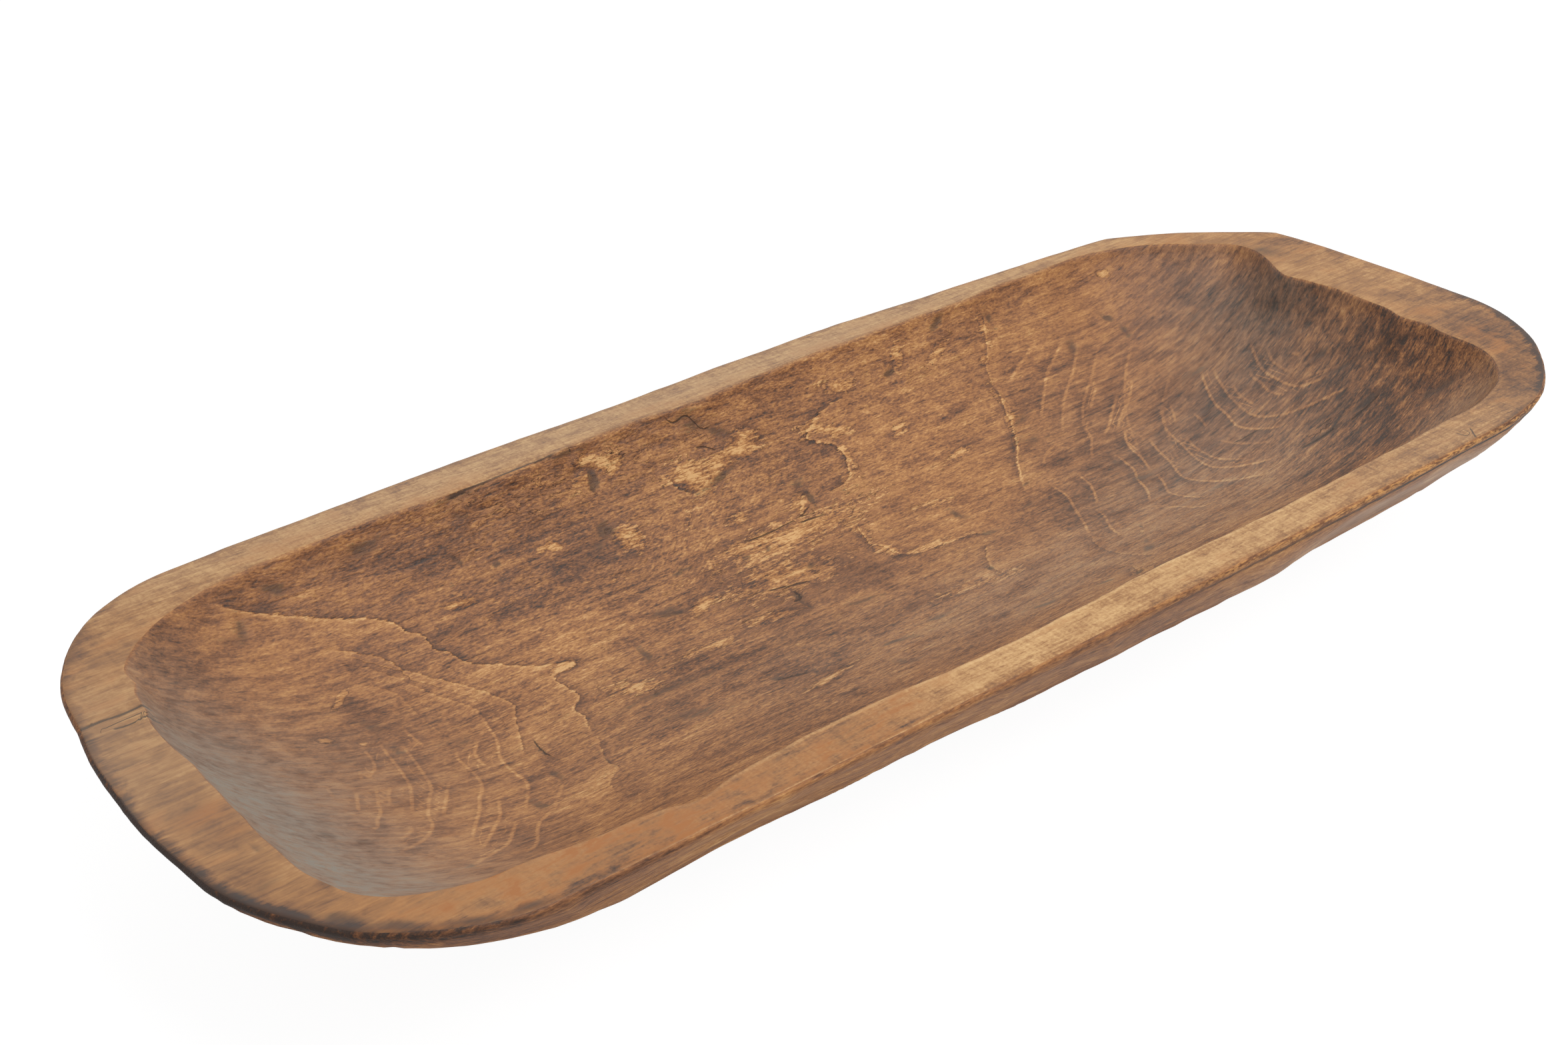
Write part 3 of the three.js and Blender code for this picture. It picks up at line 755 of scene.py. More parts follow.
# Where a highlight is painted on the rounded lip of the hollow, as if it caught the light, or the lip is
# painted darker where the amount is below zero
LIP_HIGHLIGHTS_AND_DARKS = (
    (-110, -86, 60, 12, 1.0), (-30, -86, 60, 12, 0.8), (60, -86, 60, 12, 0.6), (150, -84, 60, 14, 0.5),
    (215, -50, 30, 30, 0.7), (-40, 86, 150, 10, -0.9),
)
print("areas in the hollow", len(BROAD_TONES) + len(GREY_SHEEN_AREAS), "on the lip", len(LIP_HIGHLIGHTS_AND_DARKS))

# %% Lighter and darker areas, dark spots and cracks of the rim
RIM_TONES = (
    (-205, -88, 34, 16, -0.08), (-160, -93, 30, 12, -0.2), (-105, -94, 26, 12, -0.16),
    (-40, -93, 34, 10, 0.16), (40, -93, 50, 10, 0.07), (130, -92, 30, 10, -0.1),
    (200, -84, 34, 14, -0.28), (232, -55, 22, 22, -0.36), (240, -18, 18, 20, -0.02),
    (240, 16, 18, 14, -0.04), (238, 45, 22, 16, -0.22), (215, 74, 20, 14, -0.1),
    (-228, 66, 26, 16, -0.14), (-244, 30, 14, 30, -0.08), (-242, -12, 14, 16, -0.1),
    (-240, -52, 18, 24, -0.14), (0, 94, 200, 9, 0.05), (-246, -40, 9, 40, -0.08),
    (-230, -72, 24, 16, -0.08), (60, -92, 50, 12, 0.02), (150, -92, 80, 12, 0.02),
    (234, -30, 16, 22, -0.12), (216, -80, 18, 12, -0.12), (232, -4, 14, 14, -0.05),
    (-188, -86, 22, 9, 0.12), (-236, -23, 7, 8, -0.14), (-226, 44, 5, 5, 0.1), (-235, -46, 6, 5, 0.1),
    (-110, -95, 12, 5, 0.08), (-150, -92, 12, 5, 0.08),
)
RIM_DARKS = (
    (-241, -12, 5, 2.4, 20, 0.4), (231, 44, 9, 5, -60, 0.6), (-251, -34, 7, 1.8, -78, 0.7),
    (-247, -50, 7, 2.6, -70, 1.0), (-241, -62, 8, 2.8, -60, 1.1), (-233, -73, 8, 3.8, -52, 1.2),
    (-224, -82, 9, 2.4, -40, 0.9), (-212, -90, 10, 2.2, -30, 0.9), (-199, -94.6, 9, 2.0, -12, 0.8),
    (-166, -98, 8, 1.6, -4, 0.5), (-243, -50, 5, 2, 10, 0.5), (-235.8, -35, 1.1, 8, 8, 0.6),
    (253, -26, 12, 2.0, 88, 1.4), (248, -50, 11, 2.2, 72, 1.4), (239, -65, 10, 2.0, 56, 1.4),
    (228, -77, 8, 1.8, 44, 1.0), (-252.5, -4, 9, 1.4, 90, 0.5), (-250, 22, 8, 1.2, 80, 0.4),
    (215, -86, 12, 1.6, 28, 0.7), (180, -96, 20, 1.2, 8, 0.6),
)
RIM_CRACKS = (
    (0.6, 1.4, ((-226, 37.2), (-231, 36.6), (-236, 36.2), (-241, 36.8), (-249, 36.0))),
    (0.3, 0.8, ((-226, 32), (-230, 31.4), (-235, 30.6), (-241, 30.8))),
    (0.3, 0.6, ((165, -91.5), (163, -94), (160.5, -97))),
    (0.25, 0.5, ((158, -91), (160, -95))),
)
# Where the stain on the rim is warmest
WARMTHS = (
    (-205, -82, 34, 24, 0.42), (-165, -90, 34, 14, 0.5), (-120, -92, 40, 12, 0.2),
    (-90, -92, 26, 12, 0.3), (-239, -16, 9, 4.5, 0.5), (-236, -27, 9, 3, 0.3),
)
print("areas on the rim", len(RIM_TONES), "dark spots", len(RIM_DARKS), "cracks", len(RIM_CRACKS))

# %% Wear, fibres and scratches
# How dark the worn outer edge is: x, y, half length, half width and darkness
WEAR = (
    (-232, -78, 40, 32, 0.36), (-252, -20, 22, 50, 0.25), (222, -78, 50, 24, 0.3),
    (-120, -98, 50, 12, 0.06), (252, -44, 8, 16, 0.3),
)
# Where hands and cloths have rubbed the surface smoother, or left it rougher where it is below zero
RUBBED = (
    (-240, -10, 74, 110, 0.85), (-190, -60, 60, 30, 0.4), (190, 55, 70, 60, 0.5),
    (212, 10, 36, 60, 0.5), (130, 20, 60, 50, 0.2), (-70, 50, 70, 40, -0.1), (2, 22, 34, 20, 0.22),
    (-170, 5, 34, 40, 0.25),
)
# Where long fibres stand out more than elsewhere, or less where the amount is below zero
STREAKED = (
    (200, -20, 44, 40, 0.9), (218, 35, 26, 36, 0.5), (150, -45, 60, 20, 0.5), (150, 55, 50, 30, 0.3),
    (-10, 36, 40, 20, 0.3), (-110, 40, 40, 14, 0.3), (-225, 0, 40, 80, -0.3), (165, 66, 36, 20, -0.2),
    (2, 22, 30, 18, -0.6), (60, 0, 40, 30, -0.25),
)
# Where the tool went over the wood askew and left fine scratches
SCRATCHED = (
    (-46, 50, 18, 12, 1.0), (-20, 62, 18, 10, 0.7), (10, 62, 20, 9, 0.6), (-95, 52, 20, 10, 0.4),
    (60, 55, 24, 12, 0.4),
)
print("worn areas", len(WEAR), "rubbed", len(RUBBED), "streaked", len(STREAKED), "scratched", len(SCRATCHED))

# %% Lighter and darker areas of the outside
# Where the worn edge of the rim is golden, with a black split below it
GILT = (
    (40, -100, 30, 20, 0.4), (100, -100, 50, 20, 0.7), (170, -97, 50, 24, 0.9), (222, -72, 34, 26, 1.0),
)
# Where the outside wall is darker or lighter than elsewhere, and where a painted sheen, a grey-white
# reflection of the white floor, lies on it below the rim
WALL_TONES = (
    (-222, -82, 40, 24, -0.12), (-254, -20, 12, 60, -0.42), (-140, -98, 40, 12, 0.14),
    (-90, -100, 40, 12, 0.08), (254, -34, 10, 26, -0.45), (120, -98, 90, 12, 0.04),
)
# Painted sheen on the outside wall: a grey-white reflection of the white floor
WALL_SHEEN_AREAS = (
    (140, -98, 80, 14, 0.55), (215, -75, 40, 24, 0.6), (-30, -100, 60, 12, 0.12),
)
print("areas on the outside", len(GILT) + len(WALL_TONES) + len(WALL_SHEEN_AREAS))

# %% Work the marks out at every point
def patch_heights(flat, patches):
    """The highest of all patches at each point: 1 in the middle of one, 0 on its edge and less beyond."""
    tallest = np.full(len(flat), -1.0)
    for x, y, half_length, half_width, turn, strength in patches:
        angle = math.radians(turn)
        dx = flat[:, 0] - x
        dy = flat[:, 1] - y
        along = (dx * math.cos(angle) + dy * math.sin(angle)) / half_length
        across = (dy * math.cos(angle) - dx * math.sin(angle)) / half_width
        height = strength * (1 - np.hypot(along, across))
        tallest = np.maximum(tallest, height)
    return tallest


def nearest_curve(flat, curves, ends):
    """The distance from the nearest of several curves and how strong it is there."""
    distance = np.full(len(flat), FAR_OFF)
    strength = np.zeros(len(flat))
    for weight, knots in curves:
        off, along = from_curve(flat, knots)
        nearer = abs(off) < abs(distance)
        distance[nearer] = off[nearer]
        strength[nearer] = (weight * ramp(along, 0, ends) * ramp(1 - along, 0, ends))[nearer]
    return distance, strength


# The share of its length over which each kind of line fades in at both ends
SHORE_ENDS, RING_ENDS, CRACK_ENDS = 0.05, 0.14, 0.2
# How far a shore and a ring show to each side, and how soft that border is
SHORE_REACH, SHORE_SOFT = 4, 2
RING_REACH, RING_SOFT = 2.6, 1.2
# Where the step on the inner side of a ring starts, and how far it takes to die away
LEE_STEP, LEE_LENGTH = (-0.6, 0.8), 2.0

flat = base[:, :2]
shore_distance, shore_strength = nearest_curve(flat, list(SHORES.values()), SHORE_ENDS)
shore_strength *= in_hollow
shore_near = shore_strength * ramp(SHORE_REACH - abs(shore_distance), 0, SHORE_SOFT)
ring_distance = np.full(len(flat), FAR_OFF)
ring_strength = np.zeros(len(flat))
ring_lee = np.zeros(len(flat))
for strength, knots in RING_LINES:
    off, along = from_curve(flat, knots)
    fade = in_hollow * strength * ramp(along, 0, RING_ENDS) * ramp(1 - along, 0, RING_ENDS)
    inwards = off if knots[0][0] < 0 else -off
    dying = np.exp(-np.clip(inwards, 0, None) / LEE_LENGTH)
    ring_lee = np.maximum(ring_lee, fade * ramp(inwards, *LEE_STEP) * dying)
    nearer = abs(off) < abs(ring_distance)
    ring_distance[nearer] = off[nearer]
    ring_strength[nearer] = (fade * ramp(RING_REACH - abs(off), 0, RING_SOFT))[nearer]
crack_distance = np.full(len(flat), FAR_OFF)
crack_depth = np.zeros(len(flat))
for half_width, depth, knots in (*CRACKS.values(), *RIM_CRACKS):
    off, along = from_curve(flat, knots)
    scaled = off / half_width
    nearer = abs(scaled) < abs(crack_distance)
    crack_distance[nearer] = scaled[nearer]
    crack_depth[nearer] = (depth * ramp(along, 0, CRACK_ENDS) * ramp(1 - along, 0, CRACK_ENDS))[nearer]
pale = np.where(in_hollow, patch_heights(flat, PALE_PATCHES), -1)
dark = np.where(in_hollow, patch_heights(flat, DARK_PATCHES), patch_heights(flat, RIM_DARKS))
print("points near a shore", int((shore_near > 0).sum()), "near a ring", int((ring_strength > 0).sum()))

# %% Work the soft areas out at every point
WEAR_EVERYWHERE = 0.12
# The least and the most that fibres and fine grain can stand out, where 1 is as usual
STREAKY_LIMITS, FINE_LIMITS = (0.3, 2.4), (0.15, 1.1)
# Millimetres below the rim between which the painted grey sheen of the outside fades in
WALL_SHEEN_START = (3, 12)


def soft_areas(flat, areas):
    """The sum of soft round areas at each point."""
    total = np.zeros(len(flat))
    for x, y, half_length, half_width, amount in areas:
        along = (flat[:, 0] - x) / half_length
        across = (flat[:, 1] - y) / half_width
        total += amount * np.exp(-along ** 2 - across ** 2)
    return total


tone = np.where(in_hollow, soft_areas(flat, BROAD_TONES), soft_areas(flat, RIM_TONES))
tone = np.where(on_wall, soft_areas(flat, WALL_TONES), tone)
wear = WEAR_EVERYWHERE + soft_areas(flat, WEAR)
# Grey painted over the stain: in the hollow partly wax bloom and partly painted sheen, on the rim and the
# outside wall painted sheen
bloom = np.where(in_hollow, soft_areas(flat, GREY_SHEEN_AREAS), on_rim * soft_areas(flat, RIM_GREY_SHEEN_AREAS))
bloom += on_wall * soft_areas(flat, WALL_SHEEN_AREAS) * ramp(HEIGHT - base[:, 2], *WALL_SHEEN_START)
gilt = on_wall * soft_areas(flat, GILT)
# A painted highlight along the mouth's rounded lip, darker where its amount is below zero
lip = on_rim * soft_areas(flat, LIP_HIGHLIGHTS_AND_DARKS)
warm = on_rim * soft_areas(flat, WARMTHS)
streaky = np.clip(1 + soft_areas(flat, STREAKED), *STREAKY_LIMITS)
scratched = in_hollow * soft_areas(flat, SCRATCHED)
fine = np.clip(1 - soft_areas(flat, RUBBED), *FINE_LIMITS)
print("tone from", round(float(tone.min()), 2), "to", round(float(tone.max()), 2))

# %% [markdown]
# ## Cutting the marks into the surface
# A shore is a real step of about a quarter of a millimetre, so light catches it from any side. The adze left
# shallow scoops, the far edge is torn, and the outside is cut in long facets.

# %% Depths of the tool marks
RING_STEP, SHORE_STEP, SCOOP_DEPTH, FACET_DEPTH = 0.14, 0.28, 0.5, 1.0
# The box that the middles of the cuts lie in, and how narrow the ridges between them are
BLOCK_LOW, BLOCK_HIGH = (-260, -105, -5), (260, 105, 65)
RIDGE_POWER = 3


def scoops(places, length, width, count, seed):
    """Shallow dishes side by side, 0 in the middle of a dish and 1 on the ridges between them."""
    picker = np.random.default_rng(seed)
    middles = picker.uniform(BLOCK_LOW, BLOCK_HIGH, size=(count, 3))
    size = np.array((length, width, width))
    nearest = np.full(len(places), np.inf)
    second = np.full(len(places), np.inf)
    for middle in middles:
        distance = np.linalg.norm((places - middle) / size, axis=1)
        second = np.minimum(second, np.maximum(nearest, distance))
        nearest = np.minimum(nearest, distance)
    return np.clip(nearest / np.maximum(second, SMALL), 0, 1) ** RIDGE_POWER


# %% Marks in the hollow
# The scoops of the adze: height, size of the bumps and seed, and how far down they reach full depth
SCOOP_BUMPS = ((0.6, (70, 34, 34), 21), (0.35, (26, 13, 13), 22))
SCOOP_START = 12
# Half the width of a shore's step, and how far behind it the surface takes to fall back
SHORE_EDGE, SHORE_FALL = 0.5, 6
# How deep a crack is against its mark, and how far it opens in half widths
CRACK_SINK, CRACK_SPREAD = 0.5, 2.2
# How deep the dark patches lie and how high the pale ones, and over which part of the mark
DARK_SINK, DARK_EDGE = 0.3, (0.1, 0.7)
PALE_RISE, PALE_EDGE = 0.12, (0.0, 0.4)
# The torn far edge: where it starts and is complete, its middle, how far it reaches and how it fades
TORN_ACROSS, TORN_MIDDLE, TORN_REACH, TORN_FADE = (66, 80), -70, 60, 40
TORN_SINK, TORN_LEFT_OUT = 0.7, 0.1
# Noise in layers: the size of its bumps, its seed, its layers and the share that each layer keeps
TORN_NOISE = ((9, 2.6, 2.6), 23, 2, 0.6)
FIBRE_HEIGHT, FIBRE_NOISE = 0.06, ((7, 2.4, 2.4), 24, 2, 0.7)

lift = np.zeros(len(base))
lift -= in_hollow * SCOOP_DEPTH * bumpy(base, SCOOP_BUMPS) * ramp(from_mouth, 0, SCOOP_START)
lift -= RING_STEP * ring_lee
shore_slope = np.exp(-np.clip(shore_distance, 0, None) / SHORE_FALL)
lift += shore_strength * SHORE_STEP * ramp(shore_distance, -SHORE_EDGE, SHORE_EDGE) * shore_slope
lift -= CRACK_SINK * crack_depth * np.exp(-(crack_distance / CRACK_SPREAD) ** 2)
lift -= in_hollow * (DARK_SINK * ramp(dark, *DARK_EDGE) - PALE_RISE * ramp(pale, *PALE_EDGE))
torn = in_hollow * ramp(base[:, 1], *TORN_ACROSS)
torn = torn * ramp(TORN_REACH - abs(base[:, 0] - TORN_MIDDLE), 0, TORN_FADE)
lift -= torn * TORN_SINK * np.clip(layered(base, *TORN_NOISE) - TORN_LEFT_OUT, 0, 1)
lift += in_hollow * FIBRE_HEIGHT * layered(base, *FIBRE_NOISE)
print("lift in the hollow from", round(float(lift.min()), 2), "to", round(float(lift.max()), 2), "mm")

# %% Cuts on the outside, and the sawn rim
FACET_LENGTH, FACET_WIDTH, FACET_COUNT, FACET_SEED = 46, 15, 420, 31
# The part of a facet's height that stands below the plain wall
RIDGE_SHARE = 0.8
# Millimetres above the foot and below the rim between which the cuts fade in
CUTS_FROM_FOOT, CUTS_FROM_RIM = (1, 12), (0, 8)
# How far the whole wall is taken in, so that its ridges stay inside the block
WALL_INSET = 0.15
SPLINTER_DEPTH, SPLINTER_NOISE = 0.12, ((16, 4, 4), 32, 2, 0.7)
SAW_DEPTH, SAW_SIZE, SAW_SEED = 0.05, (30, 8, 8), 41

facets = scoops(base, FACET_LENGTH, FACET_WIDTH, FACET_COUNT, FACET_SEED)
wall_weight = on_wall * ramp(base[:, 2], *CUTS_FROM_FOOT)
cuts = FACET_DEPTH * (facets - RIDGE_SHARE) * ramp(HEIGHT - base[:, 2], *CUTS_FROM_RIM)
lift += wall_weight * (cuts - WALL_INSET)
lift -= wall_weight * SPLINTER_DEPTH * abs(layered(base, *SPLINTER_NOISE))
lift -= on_rim * SAW_DEPTH * (1 + rough(base, SAW_SIZE, SAW_SEED))
print("lift from", round(float(lift.min()), 2), "to", round(float(lift.max()), 2), "mm")

# %% Lift the surface, and leave nothing outside the block
surface = base + directions * lift[:, None]
surface[:, 0] = np.clip(surface[:, 0], -LENGTH / 2, LENGTH / 2)
surface[:, 1] = np.clip(surface[:, 1], -WIDTH / 2, WIDTH / 2)
surface[:, 2] = np.clip(surface[:, 2], 0, HEIGHT)
print("box of the wood:", surface.min(axis=0).round(2), surface.max(axis=0).round(2))

# %% Make the mesh
bowl_mesh = bpy.data.meshes.new("hewn_bowl")
bowl_mesh.from_pydata((surface * MM).tolist(), [], triangles.tolist())
shape = bmesh.new()
shape.from_mesh(bowl_mesh)
shape.verts.ensure_lookup_table()
floor_face = shape.faces.new([shape.verts[i] for i in last_ring])
foot_face = shape.faces.new([shape.verts[i] for i in first_ring[::-1]])
bmesh.ops.triangulate(shape, faces=[floor_face, foot_face])
shape.to_mesh(bowl_mesh)
shape.free()
print("points", len(bowl_mesh.vertices), "triangles", len(bowl_mesh.polygons))

# %% Give each triangle its material, and keep the marks on the points
HOLLOW_SLOT, RIM_SLOT, WALL_SLOT = 0, 1, 2
# Distances beyond this many millimetres or half widths are all alike to the materials
MARK_LIMIT = 60
slot_of_zone = np.array((WALL_SLOT, WALL_SLOT, RIM_SLOT, HOLLOW_SLOT))
slots = np.zeros(len(bowl_mesh.polygons), int)
slots[: len(triangles)] = slot_of_zone[triangle_zones]
for number in range(len(triangles), len(slots)):
    if bowl_mesh.polygons[number].center.z < MM:
        slots[number] = WALL_SLOT
bowl_mesh.polygons.foreach_set("material_index", slots)
bowl_mesh.shade_smooth()
rim_share = np.where(on_rim, level_share, np.where(in_hollow, 1.0, 0.0))
below_rim = np.where(on_wall, HEIGHT - base[:, 2], 0)
marks = {
    "ring": ring_distance, "ring_weight": ring_strength, "ring_lee": ring_lee, "fine": fine,
    "shore": shore_distance, "shore_weight": shore_strength, "shore_near": shore_near,
    "crack": crack_distance, "crack_weight": crack_depth, "pale": pale, "dark": dark, "tone": tone,
    "below_rim": below_rim, "rim_share": rim_share, "facets": facets, "torn": torn, "wear": wear,
    "bloom": bloom, "gilt": gilt, "lip": lip, "warm": warm, "streaky": streaky, "scratched": scratched,
}
for name, values in marks.items():
    layer = bowl_mesh.attributes.new(name, "FLOAT", "POINT")
    layer.data.foreach_set("value", np.clip(values, -MARK_LIMIT, MARK_LIMIT).astype(np.float32))
hewn_bowl = bpy.data.objects.new("hewn_bowl", bowl_mesh)
bpy.context.collection.objects.link(hewn_bowl)
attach(hewn_bowl, "root")
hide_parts("carved_bowl")
print("triangles in the bowl:", len(bowl_mesh.polygons))

# %% [markdown]
# ## Shader maths as plain arithmetic
# A material is a sum of many small effects. Wrapping a socket in a class that knows +, - and * lets each
# effect be written on one line, and the class adds the nodes.

# %% A value that flows through a material
class Wire:
    """An output socket in a material, with arithmetic."""

    def __init__(self, socket):
        self.socket = socket

    @classmethod
    def node(cls, tree, kind, settings=None, sockets=None, output=0):
        """Adds any node: its settings first, then the values or wires of its sockets."""
        made = tree.nodes.new(kind)
        for name, value in (settings or {}).items():
            if name == "stops":
                stops = made.color_ramp.elements
                while len(stops) < len(value):
                    stops.new(1.0)
                for stop, (place, colour) in zip(stops, value):
                    stop.position = place
                    stop.color = colour
            else:
                setattr(made, name, value)
        for name, value in (sockets or {}).items():
            if isinstance(value, cls):
                tree.links.new(value.socket, made.inputs[name])
            else:
                made.inputs[name].default_value = value
        return cls(made.outputs[output]) if len(made.outputs) else None

    def maths(self, operation, first, second):
        """One Math node on two values."""
        tree = self.socket.id_data
        return Wire.node(tree, "ShaderNodeMath", {"operation": operation}, {0: first, 1: second})

    def __add__(self, other):
        return self.maths("ADD", self, other)

    def __sub__(self, other):
        return self.maths("SUBTRACT", self, other)

    def __mul__(self, other):
        return self.maths("MULTIPLY", self, other)

    def __rsub__(self, other):
        return self.maths("SUBTRACT", other, self)

    __radd__ = __add__
    __rmul__ = __mul__

    def step(self, low, high):
        """0 below low, 1 above high and a soft step between them. High may be the lower one."""
        ways = {"interpolation_type": "SMOOTHSTEP"}
        sockets = {"Value": self, "From Min": low, "From Max": high}
        if high < low:
            sockets = {"Value": self, "From Min": high, "From Max": low, "To Min": 1.0, "To Max": 0.0}
        return Wire.node(self.socket.id_data, "ShaderNodeMapRange", ways, sockets)


def rgb(red, green, blue):
    """A colour as a screen shows it, 0 to 255, in the linear numbers that a material takes."""
    parts = [value / 255 for value in (red, green, blue)]
    return (*[part / 12.92 if part <= 0.04045 else ((part + 0.055) / 1.055) ** 2.4 for part in parts], 1.0)


# %% Reading marks, making grain, mixing colours
NOISE_SPREAD = 2.0
# A seed moves the grain by these, so that no two look alike
SEED_STEPS = (3.7, 1.3, 2.1)


def mark(tree, name):
    """One of the marks kept on the mesh's points."""
    return Wire.node(tree, "ShaderNodeAttribute", {"attribute_name": name}, output="Fac")


def grain(tree, size, seed, detail=2.0, roughness=0.55, distortion=0.0, turn=0.0):
    """Noise, mostly from -1 to 1, whose flecks have the given length, width and height in millimetres."""
    where = Wire.node(tree, "ShaderNodeTexCoord", output="Object")
    if turn:
        angle = -math.radians(turn)
        turning = {"Vector": where, "Angle": angle}
        where = Wire.node(tree, "ShaderNodeVectorRotate", {"rotation_type": "Z_AXIS"}, turning)
    placed = Wire.node(tree, "ShaderNodeMapping", {}, {
        "Vector": where,
        "Scale": [1 / (length * MM) for length in size],
        "Location": [seed * step for step in SEED_STEPS],
    })
    noise = Wire.node(tree, "ShaderNodeTexNoise", {"normalize": True}, {
        "Vector": placed, "Scale": 1.0, "Detail": detail, "Roughness": roughness, "Distortion": distortion,
    })
    return noise * (2 * NOISE_SPREAD) - NOISE_SPREAD


def blend(tree, share, first, second):
    """A colour between two others."""
    return Wire.node(tree, "ShaderNodeMix", {"data_type": "RGBA"}, {0: share, 6: first, 7: second}, output=2)


def shades(tree, share, stops):
    """A colour from a list of (place, colour) stops."""
    return Wire.node(tree, "ShaderNodeValToRGB", {"stops": stops}, {"Fac": share}, output="Color")


# Waxed wood shines a little less than lacquer would
WOOD_IOR, WOOD_SPECULAR = 1.45, 0.36


def surface_material(name, build):
    """A material whose nodes are added by a function that returns its colour, roughness, relief and depth."""
    material = bpy.data.materials.new(name)
    material.use_nodes = True
    tree = material.node_tree
    tree.nodes.clear()
    colour, roughness, relief, relief_depth = build(tree)
    bump = Wire.node(tree, "ShaderNodeBump", {}, {
        "Height": relief, "Strength": 1.0, "Distance": relief_depth * MM,
    })
    skin = Wire.node(tree, "ShaderNodeBsdfPrincipled", {}, {
        "Base Color": colour, "Roughness": roughness, "Normal": bump,
        "IOR": WOOD_IOR, "Specular IOR Level": WOOD_SPECULAR,
    })
    Wire.node(tree, "ShaderNodeOutputMaterial", {"target": "ALL"}, {"Surface": skin})
    print("material", name, "has", len(tree.nodes), "nodes")
    return material


# %% [markdown]
# ## The hollow
# The stain lies unevenly: dark in open pores and in the lee of every ring, thin on the ridges. Short
# flecks are cut fibres, longer streaks are the grain itself.

# %% Colours of the stained wood
INK = rgb(44, 38, 36)
SOOT = rgb(46, 31, 23)
UMBER = rgb(84, 52, 31)
WALNUT = rgb(117, 75, 45)
TAN = rgb(145, 97, 57)
HONEY = rgb(172, 122, 72)
STRAW = rgb(203, 159, 106)
SAWN = rgb(181, 141, 94)
# The grey of the wax bloom and painted sheen over the hollow and the rim
BLOOM_SHEEN_GREY = rgb(126, 120, 110)
# The grey-white of the painted sheen on the outside wall
WALL_SHEEN_GREY = rgb(186, 172, 158)
AMBER = rgb(151, 97, 51)
GOLD = rgb(198, 146, 84)
STAIN_STOPS = [(0.0, SOOT), (0.2, UMBER), (0.38, WALNUT), (0.54, TAN), (0.74, HONEY), (1.0, STRAW)]
# How high the finest relief of each surface is, in millimetres
HOLLOW_RELIEF, RIM_RELIEF, WALL_RELIEF = 0.3, 0.16, 0.35
print("colours of the stain:", len(STAIN_STOPS))


